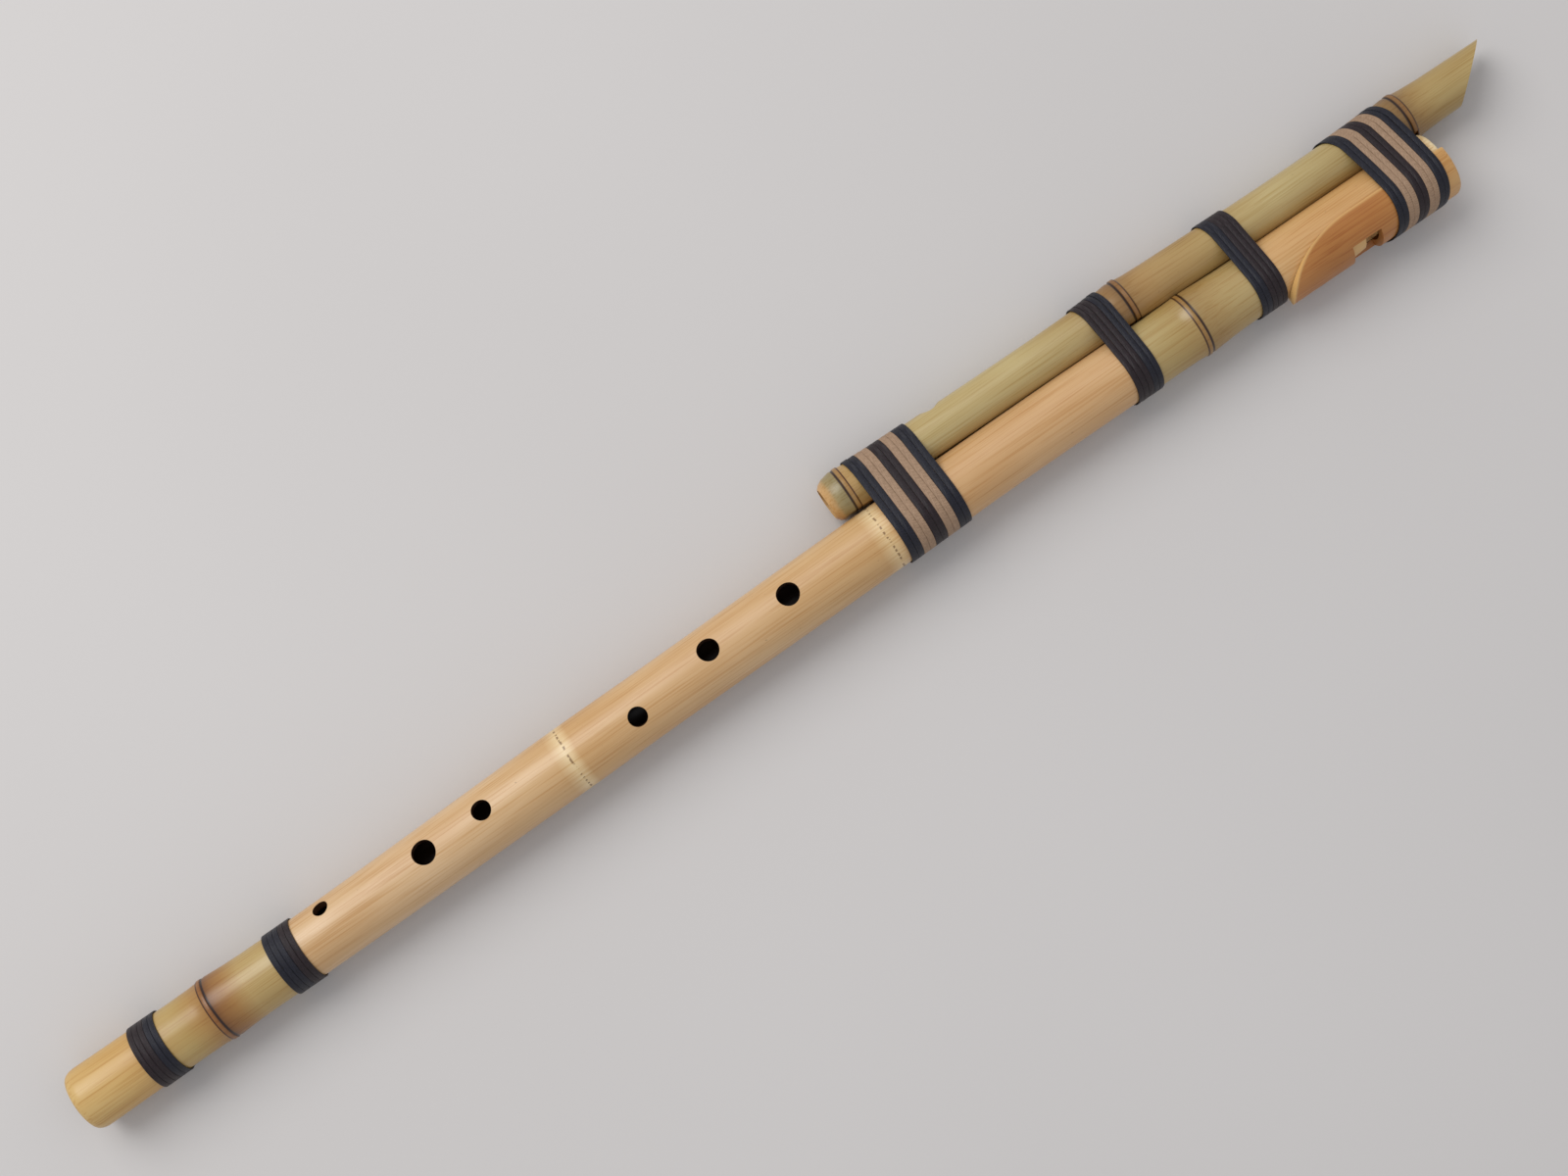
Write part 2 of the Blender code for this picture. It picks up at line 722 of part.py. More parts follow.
def least_gap(points, width):
    """Least clear distance between neighbouring turns of one lace."""
    gaps = []
    for i in range(len(points)):
        for j in range(i + LOOP_POINTS - 4, min(i + LOOP_POINTS + 4, len(points) - 1)):
            a, b = points[j], points[j + 1]
            share = min(max((points[i] - a).dot(b - a) / (b - a).length_squared, 0.0), 1.0)
            gaps.append((points[i] - a.lerp(b, share)).length - width)
    return min(gaps)


def make_lace(name, points, width, skin):
    """A flat lace: a ribbon as wide as the lace along its path, thickened to both sides."""
    curve = bpy.data.curves.new(name, "CURVE")
    curve.dimensions = "3D"
    curve.twist_mode = "Z_UP"
    curve.extrude = width / 2.0
    spline = curve.splines.new("POLY")
    spline.points.add(len(points) - 1)
    for target, point in zip(spline.points, points):
        target.co = (point.y, point.z, point.x, 1.0)
    lace = add_object(name, curve, "Moseno")
    lace.rotation_euler = (math.radians(90.0), 0.0, math.radians(90.0))
    solid = lace.modifiers.new("Thickness", "SOLIDIFY")
    solid.thickness = LACE_THICKNESS
    solid.offset = 0.0
    curve.materials.append(skin)
    return lace


LACE_COLOURS = {"navy": NAVY, "brown": BROWN, "tan": TAN}
STRIPED = ("navy", "tan", "brown", "tan", "navy")

# Binding: name, middle from the foot, colours from the foot with their turns, pitch, lace width, skew, both tubes
BINDINGS = (
    ("foot_binding", 0.0356, (("brown", 3), ("navy", 2)), 0.00236, 0.00184, 0.0, False),
    ("foot_joint_binding", 0.0975, (("navy", 3), ("brown", 2)), 0.00242, 0.0019, 0.0, False),
    ("lower_binding", MAIN_LENGTH - 0.2450, tuple((c, 2) for c in STRIPED), 0.00285, 0.0024, 0.0010, True),
    ("middle_binding", MAIN_LENGTH - 0.1458, (("brown", 3), ("navy", 2)), 0.00238, 0.0019, 0.0019, True),
    ("nose_binding", MAIN_LENGTH - 0.0864, (("navy", 2), ("brown", 3)), 0.00238, 0.0019, 0.0016, True),
    ("upper_binding", MAIN_LENGTH - 0.0205, tuple((c, 2) for c in STRIPED), 0.00242, 0.00183, 0.0047, True),
)


def make_binding(name, middle, colours, pitch, width, skew, round_both):
    """One band: its laces lie side by side along the tubes."""
    total = sum(turns for _, turns in colours)
    first_x = middle - pitch * (total - 1) / 2.0
    for number, (colour, turns) in enumerate(colours, start=1):
        points = winding_points(first_x, turns, pitch, width, skew, round_both)
        plain = len(colours) == len({c for c, _ in colours})
        label = f"{name}_{colour}" if plain else f"{name}_{number}_{colour}"
        make_lace(label, points, width, material(f"{colour} lace", LACE_COLOURS[colour], 0.6))
        print(f"{label}: least gap to itself {least_gap(points, width) * 1000.0:.2f} mm")
        first_x += pitch * turns


def move_origin_to_base():
    """Shift every part so that the origin is the middle of the flute's base."""
    bpy.context.view_layer.update()
    graph = bpy.context.evaluated_depsgraph_get()
    corners = []
    for obj in bpy.data.collections["Moseno"].objects:
        seen = obj.evaluated_get(graph)
        mesh = seen.to_mesh()
        corners += [obj.matrix_world @ vertex.co for vertex in mesh.vertices]
        seen.to_mesh_clear()
    low = Vector([min(corner[axis] for corner in corners) for axis in range(3)])
    high = Vector([max(corner[axis] for corner in corners) for axis in range(3)])
    shift = Vector((-(low.x + high.x) / 2.0, -(low.y + high.y) / 2.0, -low.z))
    for name in ("Moseno", "Cutters"):
        for obj in bpy.data.collections[name].objects:
            obj.location += shift
    print("shift", [round(v * 1000.0, 3) for v in shift])
    print("size", [round(v * 1000.0, 2) for v in high - low])


def main():
    clear_scene()
    window = window_cutter()
    joint_drill = air_joint_drill()
    make_main_tube(window, windway_cutter(), joint_drill)
    make_windway_cover(window)
    make_blow_tube(joint_drill)
    make_stopper("fipple_block", WINDOW_HEAD_X + SEAT_GAP, BLOCK_END_X)
    make_stopper("head_plug", MAIN_LENGTH - PLUG_LENGTH, MAIN_LENGTH)
    make_air_joint()
    for binding in BINDINGS:
        make_binding(*binding)
    move_origin_to_base()


main()
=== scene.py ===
"""Looks of the moseno: cane tubes with their skin and scraped stretches, and the wound laces."""

import json
import math

import bmesh
import bpy
from mathutils import Matrix, Vector

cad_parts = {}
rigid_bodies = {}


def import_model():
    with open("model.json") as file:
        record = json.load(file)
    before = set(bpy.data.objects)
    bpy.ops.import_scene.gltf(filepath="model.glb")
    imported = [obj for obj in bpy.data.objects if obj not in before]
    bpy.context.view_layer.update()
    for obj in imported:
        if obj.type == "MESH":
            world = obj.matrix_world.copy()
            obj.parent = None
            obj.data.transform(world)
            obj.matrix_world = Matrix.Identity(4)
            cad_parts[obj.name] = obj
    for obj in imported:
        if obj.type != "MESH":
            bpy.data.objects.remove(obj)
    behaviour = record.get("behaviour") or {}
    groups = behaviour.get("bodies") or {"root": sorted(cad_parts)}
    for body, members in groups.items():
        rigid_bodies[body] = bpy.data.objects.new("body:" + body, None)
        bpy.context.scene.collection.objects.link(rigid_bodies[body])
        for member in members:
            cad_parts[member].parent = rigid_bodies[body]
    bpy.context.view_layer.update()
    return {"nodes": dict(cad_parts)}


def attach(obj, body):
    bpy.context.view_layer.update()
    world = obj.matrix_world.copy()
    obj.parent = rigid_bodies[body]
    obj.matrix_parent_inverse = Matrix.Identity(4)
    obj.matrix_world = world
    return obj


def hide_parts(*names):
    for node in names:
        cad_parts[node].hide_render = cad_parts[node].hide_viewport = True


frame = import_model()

# Where the foot end of the straight line through the main tube lies in the frame
FOOT_PLACE = Vector((-0.340839, -0.009345, 0.000067))

# Clearances
SEAT_GAP = 0.0003

# Cutters: how far they reach past what they cut, the round ones' sides and length, the blocks' sizes
CUT_PAST = 0.002
DRILL_SIDES = 48
DRILL_LENGTH = 0.012
FLAT_BLOCK_SIZE = 0.03
FLAT_PAST_END = 0.005
TAIL_BLOCK_SIZE = 0.04
BORE_PAST_END = 0.01
BORE_PAST_TAIL = 0.02
BORE_DOME = 0.0015

# How near points have to be to be welded
WELD = 1e-6

# Raised joint of the cane: distance from its place and share of its rise, sheath ring first
NODE_SHAPE = (
    (-0.0140, 0.00),
    (-0.0060, 0.12),
    (-0.0020, 0.42),
    (-0.0012, 1.00),
    (0.0003, 0.96),
    (0.0008, 0.52),
    (0.0022, 0.78),
    (0.0060, 0.48),
    (0.0110, 0.16),
    (0.0180, 0.00),
)
NODE_CLEAR = 0.016

# Main tube: cane, measured from the foot end
MAIN_LENGTH = 0.6381
MAIN_BORE_RADIUS = 0.0098
MAIN_RADII = (
    (0.000, 0.01295),
    (0.046, 0.01265),
    (0.110, 0.01265),
    (0.228, 0.01340),
    (0.270, 0.01315),
    (0.376, 0.01350),
    (0.420, 0.01315),
    (0.523, 0.01305),
    (0.547, 0.01265),
    (0.638, 0.01280),
)
MAIN_BOW = (
    (0.000, 0.0000),
    (0.062, -0.0001),
    (0.115, -0.0004),
    (0.228, 0.0009),
    (0.376, 0.0019),
    (0.440, 0.0021),
    (0.523, 0.0014),
    (0.638, 0.0000),
)
MAIN_RAISED_NODES = (0.0625, 0.5222)
MAIN_NODE_RISE = 0.0008
RIM_ROUND_LENGTH = 0.0045
RIM_ROUND_DEPTH = 0.0020
HEAD_ROUND_LENGTH = 0.0030
HEAD_ROUND_DEPTH = 0.0015
HEAD_ROUND_MARGIN = 0.002
MAIN_SIDES = 144
STATION_SPACING = 0.013
RIM_STEPS = 10

# Finger holes: distance from the foot, diameter, degrees from the top towards the blow tube
FINGER_HOLES = (
    (0.1173, 0.0066, 49.0),
    (0.1622, 0.0098, 18.6),
    (0.1892, 0.0081, 19.4),
    (0.2583, 0.0079, -6.2),
    (0.2948, 0.0091, 18.2),
    (0.3321, 0.0094, 16.9),
)
HOLES_FROM = 0.1
HOLES_TO = 0.35
FINGER_DRILL_LENGTH = 0.014

# Blow tube: cane, measured from its own lower end, which lies below the head end of the main tube
BLOW_START_FROM_HEAD = 0.2730
BLOW_LENGTH = 0.3162
BLOW_BORE_RADIUS = 0.0066
BLOW_RADII = (
    (0.000, 0.0086),
    (0.0035, 0.0093),
    (0.009, 0.0096),
    (0.021, 0.0093),
    (0.060, 0.0091),
    (0.105, 0.00915),
    (0.141, 0.0099),
    (0.163, 0.0096),
    (0.195, 0.0091),
    (0.223, 0.0090),
    (0.245, 0.0093),
    (0.272, 0.0099),
    (0.286, 0.00945),
    (0.316, 0.0092),
)
BLOW_NODES = ((0.0093, 0.0008), (0.1405, 0.0012), (0.2723, 0.0010))
BLOW_END_CHAMFER = 0.0018
BLOW_END_LENGTH = 0.0032
BLOW_END_MARGIN = 0.0004
BLOW_SIDES = 120
BORE_SIDES = 90
SEPTUM_THICKNESS = 0.0022
BLOW_HOLE_FROM_END = 0.0543
BLOW_HOLE_DIAMETER = 0.0087
BLOW_HOLE_INSET = 0.003
TAIL_SLANT = 1.13
TAIL_LEAN = 0.30
TAIL_PAST = 0.012
SIDE_PAST = 0.01
SEAT_DEPTH_LOW = 0.0001
SEAT_DEPTH_HIGH = 0.0013

# Station of the blow tube whose radius sets how far both planed flats lie from its axis
FLAT_STATION = 0.06

# Windway cover: cane shell, placed from the head end; angles are degrees from the top
COVER_TURN = -76.0
COVER_HALF_SPAN = 87.5
COVER_NOSE_FROM_HEAD = 0.0786
COVER_NOSE_LENGTH = 0.0343
COVER_OVERHANG = 0.0009
COVER_CROWN_RISE = 0.0034
COVER_EDGE_RISE = 0.0013
COVER_END_ROUND = 0.0012
NOSE_STEPS = 28
STRAIGHT_STEPS = 3
COVER_STEPS = 72

# Head: window, windway and air chamber, placed from the head end
WINDOW_FROM_HEAD = 0.0364
WINDOW_LENGTH = 0.0134
WINDOW_HALF_ANGLE = 35.0
RAMP_LENGTH = 0.0072
RAMP_START_DEPTH = 0.0019
LIP_THICKNESS = 0.0005
LIP_SLOPE = 1e-5
WINDWAY_LENGTH = 0.0150
WINDWAY_DEPTH = 0.0011
WINDWAY_OVERLAP = 0.0005
BLOCK_LENGTH = 0.0070
AIR_EXIT_DIAMETER = 0.0080
AIR_EXIT_FROM_BLOCK = 0.0055
AIR_JOINT_FROM_HEAD = 0.0190
AIR_JOINT_RADIUS = 0.0035
AIR_JOINT_INSET = 0.003

# Laces: flat waxed cord wound round the tubes
LACE_THICKNESS = 0.0005
LACE_EDGE_SHARE = 0.3
LACE_EDGE_STEPS = 3
LOOP_POINTS = 100
OUTLINE_DEGREES = 2
OUTLINE_COVER_STEPS = 18
STEP_FROM = 0.84
SKEW_PEAK = 0.42

# What tells cut and scorched faces, the bore's painted shade and the painted highlight along the cover's
# edge: depths, widths, and how far a face looks outwards
CANE_SHARP_ANGLE = math.radians(32.0)
SKIN_DEPTH = 0.0004
MARK_MARGIN = 0.0005
RAMP_MARK_DEPTH = 0.0012
FLOOR_FACING = 0.8
EDGE_FACING = 0.72
# Painted highlight along the cover's edge: its strength and width
EDGE_HIGHLIGHT_SHARE = 0.9
EDGE_HIGHLIGHT_WIDTH = 0.0013


def between(table, x):
    """Value of a smooth curve through the (station, value) pairs of the table."""
    stations = [row[0] for row in table]
    values = [row[1] for row in table]
    x = min(max(x, stations[0]), stations[-1])
    last = len(table) - 2
    i = next(k for k in range(last + 1) if x <= stations[k + 1] or k == last)

    def slope(k):
        low, high = max(k - 1, 0), min(k + 1, len(table) - 1)
        return (values[high] - values[low]) / (stations[high] - stations[low])

    width = stations[i + 1] - stations[i]
    u = (x - stations[i]) / width
    rise = values[i + 1] - values[i]
    start, end = slope(i) * width, slope(i + 1) * width
    return values[i] + u * (start + u * (3 * rise - 2 * start - end + u * (start + end - 2 * rise)))


def smooth_step(u):
    u = min(max(u, 0.0), 1.0)
    return u * u * (3.0 - 2.0 * u)


def direction(degrees):
    """Unit vector across the tube, at an angle from the top towards +Y."""
    turn = math.radians(degrees)
    return Vector((0.0, math.sin(turn), math.cos(turn)))


def node_swell(distance, mirrored):
    """Stations of a cane joint's swelling, each with its share of the joint's rise."""
    side = -1.0 if mirrored else 1.0
    return [(distance + side * offset, share) for offset, share in NODE_SHAPE][:: int(side)]


def cane_profile(length, radii, nodes, mirrored, bends=()):
    """Outer profile of a cane tube: stations along it, with each raised joint's swelling and each bend."""
    swells = {}
    for place, rise in nodes:
        for x, share in node_swell(place, mirrored):
            if 0.0 < x < length:
                swells[x] = share * rise
    plain = [k * STATION_SPACING for k in range(1, int(length / STATION_SPACING) + 1)]
    plain = [x for x in plain if all(abs(x - place) > NODE_CLEAR for place, _ in nodes)]
    stations = sorted(set(plain) | set(swells) | set(bends))
    return [(x, between(radii, x) + swells.get(x, 0.0)) for x in stations]


# Places worked out from the driving dimensions
LACE_RISE = SEAT_GAP + LACE_THICKNESS
NOSE_X = MAIN_LENGTH - COVER_NOSE_FROM_HEAD
COVER_END_X = MAIN_LENGTH + COVER_OVERHANG
WINDOW_HEAD_X = MAIN_LENGTH - WINDOW_FROM_HEAD
WINDOW_FOOT_X = WINDOW_HEAD_X - WINDOW_LENGTH
BLOCK_END_X = WINDOW_HEAD_X + BLOCK_LENGTH
BLOW_START_X = MAIN_LENGTH - BLOW_START_FROM_HEAD
AIR_JOINT_X = MAIN_LENGTH - AIR_JOINT_FROM_HEAD
BLOW_AXIS_Z = max(between(BLOW_RADII, place) + rise for place, rise in BLOW_NODES)
HEAD_BENDS = [NOSE_X + COVER_NOSE_LENGTH * k / 4.0 for k in range(5)]
MAIN_SIDE = cane_profile(
    MAIN_LENGTH,
    MAIN_RADII,
    [(place, MAIN_NODE_RISE) for place in MAIN_RAISED_NODES],
    mirrored=False,
    bends=HEAD_BENDS,
)
BLOW_SIDE = [
    (BLOW_START_X + x, radius)
    for x, radius in cane_profile(BLOW_LENGTH + SIDE_PAST, BLOW_RADII, BLOW_NODES, mirrored=True)
]


def main_radius(x):
    return between(MAIN_RADII, x)


def blow_radius(x):
    return between(BLOW_RADII, x - BLOW_START_X)


def widest(side, x, half_width):
    """Largest radius that a tube's side has within a lace's width of this station."""
    spots = [place for place, _ in side if abs(place - x) < half_width] + [x - half_width, x + half_width]
    found = []
    for spot in spots:
        spot = min(max(spot, side[0][0]), side[-1][0])
        k = next(i for i in range(len(side) - 1) if spot <= side[i + 1][0])
        (ax, ar), (bx, br) = side[k], side[k + 1]
        found.append(ar + (br - ar) * (spot - ax) / (bx - ax))
    return max(found)


def cover_circle(x):
    """Radius of the cover's outer circle, and how far its centre lies from the tube's axis."""
    crown = main_radius(x) + COVER_CROWN_RISE
    edge = main_radius(x) + COVER_EDGE_RISE
    shift = (crown**2 - edge**2) / (2.0 * crown)
    return crown - shift, shift


def cover_radius(x, degrees):
    """Distance from the tube's axis to the cover's outer face, at an angle from its crown."""
    radius, shift = cover_circle(x)
    turn = math.radians(degrees)
    return shift * math.cos(turn) + math.sqrt(radius**2 - (shift * math.sin(turn)) ** 2)


# The cover's lower edge reaches below the tube, so the head lies a little higher than the rest
LOWER_EDGE_TURN = math.radians(180.0 + COVER_TURN - COVER_HALF_SPAN)
HEAD_LIFT = max(
    cover_radius(AIR_JOINT_X, COVER_HALF_SPAN) * math.cos(LOWER_EDGE_TURN)
    - main_radius(AIR_JOINT_X)
    + SEAT_GAP / 2.0,
    0.0,
)


def main_centre(x):
    """Point on the main tube's gently bowed axis."""
    lift = HEAD_LIFT * smooth_step((x - NOSE_X) / COVER_NOSE_LENGTH)
    return Vector((x, between(MAIN_BOW, x), main_radius(x) + LACE_RISE + lift))


def tube_spacing(x, seat_depth):
    """Sideways distance between the two axes where the tubes are seated this deep in each other."""
    reach = main_radius(x) + blow_radius(x) + SEAT_GAP - seat_depth
    height = main_centre(x).z - BLOW_AXIS_Z
    return math.sqrt(reach**2 - height**2)


SEAT_LOW_X = BLOW_START_X + BLOW_HOLE_FROM_END
BLOW_Y_LOW = main_centre(SEAT_LOW_X).y + tube_spacing(SEAT_LOW_X, SEAT_DEPTH_LOW)
BLOW_Y_HIGH = main_centre(AIR_JOINT_X).y + tube_spacing(AIR_JOINT_X, SEAT_DEPTH_HIGH)


def blow_centre(x):
    """Point on the blow tube's straight axis."""
    share = (x - SEAT_LOW_X) / (AIR_JOINT_X - SEAT_LOW_X)
    return Vector((x, BLOW_Y_LOW + share * (BLOW_Y_HIGH - BLOW_Y_LOW), BLOW_AXIS_Z))


def cut(obj, cutter):
    boolean = obj.modifiers.new(cutter.name, "BOOLEAN")
    boolean.operation = "DIFFERENCE"
    boolean.solver = "EXACT"
    boolean.object = cutter


def outward(mesh):
    """Weld a mesh's shared corners and point its faces out."""
    bm = bmesh.new()
    bm.from_mesh(mesh)
    bmesh.ops.remove_doubles(bm, verts=bm.verts, dist=WELD)
    bmesh.ops.recalc_face_normals(bm, faces=bm.faces)
    bm.to_mesh(mesh)
    bm.free()
    return mesh


def turned_mesh(name, profile, sides, centre):
    """Turn a profile of (x, radius) points about X, then lay it along a tube's axis.

    A closed profile makes a tube; a profile whose ends lie on the axis makes a solid.
    """
    closed = profile[0][1] > 0.0
    bm = bmesh.new()
    points = [bm.verts.new((x, 0.0, radius)) for x, radius in profile]
    for a, b in zip(points, points[1:]):
        bm.edges.new((a, b))
    if closed:
        bm.edges.new((points[-1], points[0]))
    outline = bpy.data.meshes.new(name)
    bm.to_mesh(outline)
    bm.free()
    lathe = add_object(name + " lathe", outline)
    screw = lathe.modifiers.new("Turn", "SCREW")
    screw.axis = "X"
    screw.steps = sides
    screw.render_steps = sides
    screw.use_merge_vertices = True
    screw.merge_threshold = WELD
    mesh = outward(evaluated_mesh(lathe, name))
    bpy.data.objects.remove(lathe, do_unlink=True)
    for vertex in mesh.vertices:
        vertex.co += Vector((0.0, *centre(vertex.co.x).yz))
    return mesh


def loft_mesh(name, rings):
    """Skin a row of rings that have equal numbers of points, and close both ends."""
    bm = bmesh.new()
    rows = [[bm.verts.new(point) for point in ring] for ring in rings]
    for near, far in zip(rows, rows[1:]):
        for i in range(len(near)):
            j = (i + 1) % len(near)
            bm.faces.new((near[i], near[j], far[j], far[i]))
    bm.faces.new(rows[0])
    bm.faces.new(reversed(rows[-1]))
    mesh = bpy.data.meshes.new(name)
    bm.to_mesh(mesh)
    bm.free()
    return outward(mesh)


def drill(name, start, along, radius, length=DRILL_LENGTH):
    """A round cutter from a start point along a direction."""
    bm = bmesh.new()
    bmesh.ops.create_cone(
        bm, cap_ends=True, segments=DRILL_SIDES, radius1=radius, radius2=radius, depth=length
    )
    turn = along.to_track_quat("Z", "Y").to_matrix().to_4x4()
    place = Matrix.Translation(start + along * (length / 2.0))
    bmesh.ops.transform(bm, matrix=place @ turn, verts=bm.verts)
    mesh = bpy.data.meshes.new(name)
    bm.to_mesh(mesh)
    bm.free()
    return add_object(name, mesh)


def rounded_rim(end_x, inward, radius, length, depth):
    """Quarter-oval rim, from the flat end face out to the tube's side."""
    points = []
    for k in range(RIM_STEPS + 1):
        turn = math.radians(90.0) * k / RIM_STEPS
        x = end_x + inward * length * (1.0 - math.cos(turn))
        points.append((x, radius - depth + depth * math.sin(turn)))
    return points


def sector_ring(x, half_angle, inner, outer, steps=24):
    """Cross-section of a curved shell about the main tube, centred on the cover's crown."""
    centre = main_centre(x)
    turns = [half_angle * (2.0 * k / steps - 1.0) for k in range(steps + 1)]
    outside = [centre + direction(COVER_TURN + turn) * outer(turn) for turn in turns]
    inside = [centre + direction(COVER_TURN + turn) * inner(turn) for turn in reversed(turns)]
    return outside + inside


def window_cutter():
    """The window: a ramp that sinks to the lip, then a way through to the bore."""
    half = WINDOW_HALF_ANGLE
    above = COVER_CROWN_RISE + CUT_PAST
    lip_x = WINDOW_FOOT_X + RAMP_LENGTH
    lip_radius = main_radius(lip_x) + SEAT_GAP + LIP_THICKNESS
    start_radius = main_radius(WINDOW_FOOT_X) + COVER_CROWN_RISE - RAMP_START_DEPTH
    through = MAIN_BORE_RADIUS - CUT_PAST
    floors = (
        (WINDOW_FOOT_X, start_radius),
        (lip_x, lip_radius),
        (lip_x + LIP_SLOPE, through),
        (WINDOW_HEAD_X, through),
    )
    rings = []
    for x, floor in floors:
        top = main_radius(x) + above
        rings.append(sector_ring(x, half, lambda _, r=floor: r, lambda _, r=top: r))
    return add_object("window_cutter", loft_mesh("window_cutter", rings))


def windway_cutter():
    """The shallow curved channel in the main tube, under the cover, that ends at the window."""
    rings = []
    for x in (WINDOW_HEAD_X - WINDWAY_OVERLAP, WINDOW_HEAD_X + WINDWAY_LENGTH):
        floor = main_radius(x) - WINDWAY_DEPTH
        top = main_radius(x) + CUT_PAST
        rings.append(sector_ring(x, WINDOW_HALF_ANGLE, lambda _, r=floor: r, lambda _, r=top: r))
    return add_object("windway_cutter", loft_mesh("windway_cutter", rings))


def mating_direction():
    """Unit vector from the blow tube's axis to the main tube's axis, where the air joint is."""
    way = main_centre(AIR_JOINT_X) - blow_centre(AIR_JOINT_X)
    return way.normalized()


def mating_cutter(name, distance, towards_main):
    """Block that planes a flat along one tube, this far from the blow tube's axis."""
    size = FLAT_BLOCK_SIZE
    start = blow_centre(BLOW_START_X - FLAT_PAST_END)
    end = blow_centre(MAIN_LENGTH + SEAT_GAP)
    way = mating_direction()
    up = Vector((1.0, 0.0, 0.0)).cross(way)
    near, far = (distance, distance + size) if towards_main else (distance, distance - size)
    rings = []
    for centre in (start, end):
        corners = ((near, -size), (far, -size), (far, size), (near, size))
        rings.append([centre + way * reach + up * rise for reach, rise in corners])
    return add_object(name, loft_mesh(name, rings))


def air_joint_drill():
    way = -mating_direction()
    start = main_centre(AIR_JOINT_X) + way * (MAIN_BORE_RADIUS - AIR_JOINT_INSET)
    return drill("air_joint_drill", start, way, AIR_JOINT_RADIUS + SEAT_GAP)


def make_main_tube(window, windway, joint_drill, finish):
    head_radius = main_radius(MAIN_LENGTH)
    foot_rim = rounded_rim(0.0, 1.0, main_radius(0.0), RIM_ROUND_LENGTH, RIM_ROUND_DEPTH)
    head_rim = rounded_rim(MAIN_LENGTH, -1.0, head_radius, HEAD_ROUND_LENGTH, HEAD_ROUND_DEPTH)
    side_end = head_rim[-1][0] - HEAD_ROUND_MARGIN
    side = [point for point in MAIN_SIDE if foot_rim[-1][0] < point[0] < side_end]
    bore_stations = int(MAIN_LENGTH / STATION_SPACING) + 1
    bore = [(MAIN_LENGTH * k / bore_stations, MAIN_BORE_RADIUS) for k in range(bore_stations + 1)]
    profile = foot_rim + side + head_rim[::-1] + bore[::-1]
    tube = add_object("main cane", turned_mesh("main cane", profile, MAIN_SIDES, main_centre))
    for number, (x, diameter, turn) in enumerate(FINGER_HOLES, start=1):
        way = direction(turn)
        start = main_centre(x) + way * (MAIN_BORE_RADIUS / 2.0)
        cut(tube, drill(f"finger_hole_{number}", start, way, diameter / 2.0, FINGER_DRILL_LENGTH))
    exit_x = BLOCK_END_X + AIR_EXIT_FROM_BLOCK
    exit_start = main_centre(exit_x) + direction(COVER_TURN) * (MAIN_BORE_RADIUS / 2.0)
    air_exit = drill("air_exit", exit_start, direction(COVER_TURN), AIR_EXIT_DIAMETER / 2.0)
    flat = mating_cutter("main_flat", between(BLOW_RADII, FLAT_STATION), towards_main=False)
    for cutter in (window, windway, air_exit, joint_drill, flat):
        cut(tube, cutter)
    return settle(tube, finish, "scraped_cane", "main_tube", hole_walls_and_bore_shade)


def make_windway_cover(window, finish):
    stations = []
    for k in range(1, NOSE_STEPS + 1):
        turn = math.radians(90.0) * k / NOSE_STEPS
        x = NOSE_X + COVER_NOSE_LENGTH * (1.0 - math.cos(turn))
        stations.append((x, COVER_HALF_SPAN * math.sin(turn), 0.0))
    nose_end = stations[-1][0]
    straight = COVER_END_X - COVER_END_ROUND - nose_end
    for k in range(1, STRAIGHT_STEPS + 1):
        stations.append((nose_end + straight * k / STRAIGHT_STEPS, COVER_HALF_SPAN, 0.0))
    stations.append((COVER_END_X, COVER_HALF_SPAN, COVER_END_ROUND * 0.6))
    rings = []
    for x, span, drop in stations:
        inside = main_radius(x) + SEAT_GAP
        rings.append(
            sector_ring(
                x,
                span,
                lambda _, r=inside: r,
                lambda turn, x=x, drop=drop: cover_radius(x, turn) - drop,
                steps=COVER_STEPS,
            )
        )
    cover = add_object("windway shell", loft_mesh("windway shell", rings))
    cut(cover, window)
    return settle(cover, finish, "orange_cane", "windway_cover", cover_edge)


def blow_profile():
    """Outer profile of the blow tube, from the chamfered lower end to past its tail."""
    side = [(x - BLOW_START_X, radius) for x, radius in BLOW_SIDE]
    side = [point for point in side if point[0] > BLOW_END_LENGTH + BLOW_END_MARGIN]
    end_radius = between(BLOW_RADII, 0.0) - BLOW_END_CHAMFER
    tail = BLOW_LENGTH + TAIL_PAST
    points = [
        (0.0, 0.0),
        (0.0, end_radius),
        (0.0012, end_radius + BLOW_END_CHAMFER * 0.75),
        (BLOW_END_LENGTH, between(BLOW_RADII, BLOW_END_LENGTH)),
        *side,
        (tail, between(BLOW_RADII, BLOW_LENGTH)),
        (tail, 0.0),
    ]
    return [(BLOW_START_X + x, radius) for x, radius in points]


def bore_cutter(name, start, end, radius):
    """Round cutter along the blow tube's axis, with slightly domed ends."""
    dome = BORE_DOME
    profile = [
        (start, 0.0),
        (start + dome * 0.3, radius * 0.8),
        (start + dome, radius),
        (end - dome, radius),
        (end - dome * 0.3, radius * 0.8),
        (end, 0.0),
    ]
    return add_object(name, turned_mesh(name, profile, BORE_SIDES, blow_centre))


def tail_cutter():
    """Block beyond the slant cut of the tail, which is longest on the outer side."""
    size = TAIL_BLOCK_SIZE
    tip = blow_centre(BLOW_START_X + BLOW_LENGTH)
    tip.y += between(BLOW_RADII, BLOW_LENGTH)
    face = Vector((1.0, -TAIL_SLANT, TAIL_LEAN)).normalized()
    along = Vector((TAIL_SLANT, 1.0, 0.0)).normalized()
    up = face.cross(along)
    rings = []
    for reach in (0.0, size):
        corners = ((-size, -size), (size, -size), (size, size), (-size, size))
        rings.append([tip + face * reach + along * a + up * b for a, b in corners])
    return add_object("tail_cut", loft_mesh("tail_cut", rings))


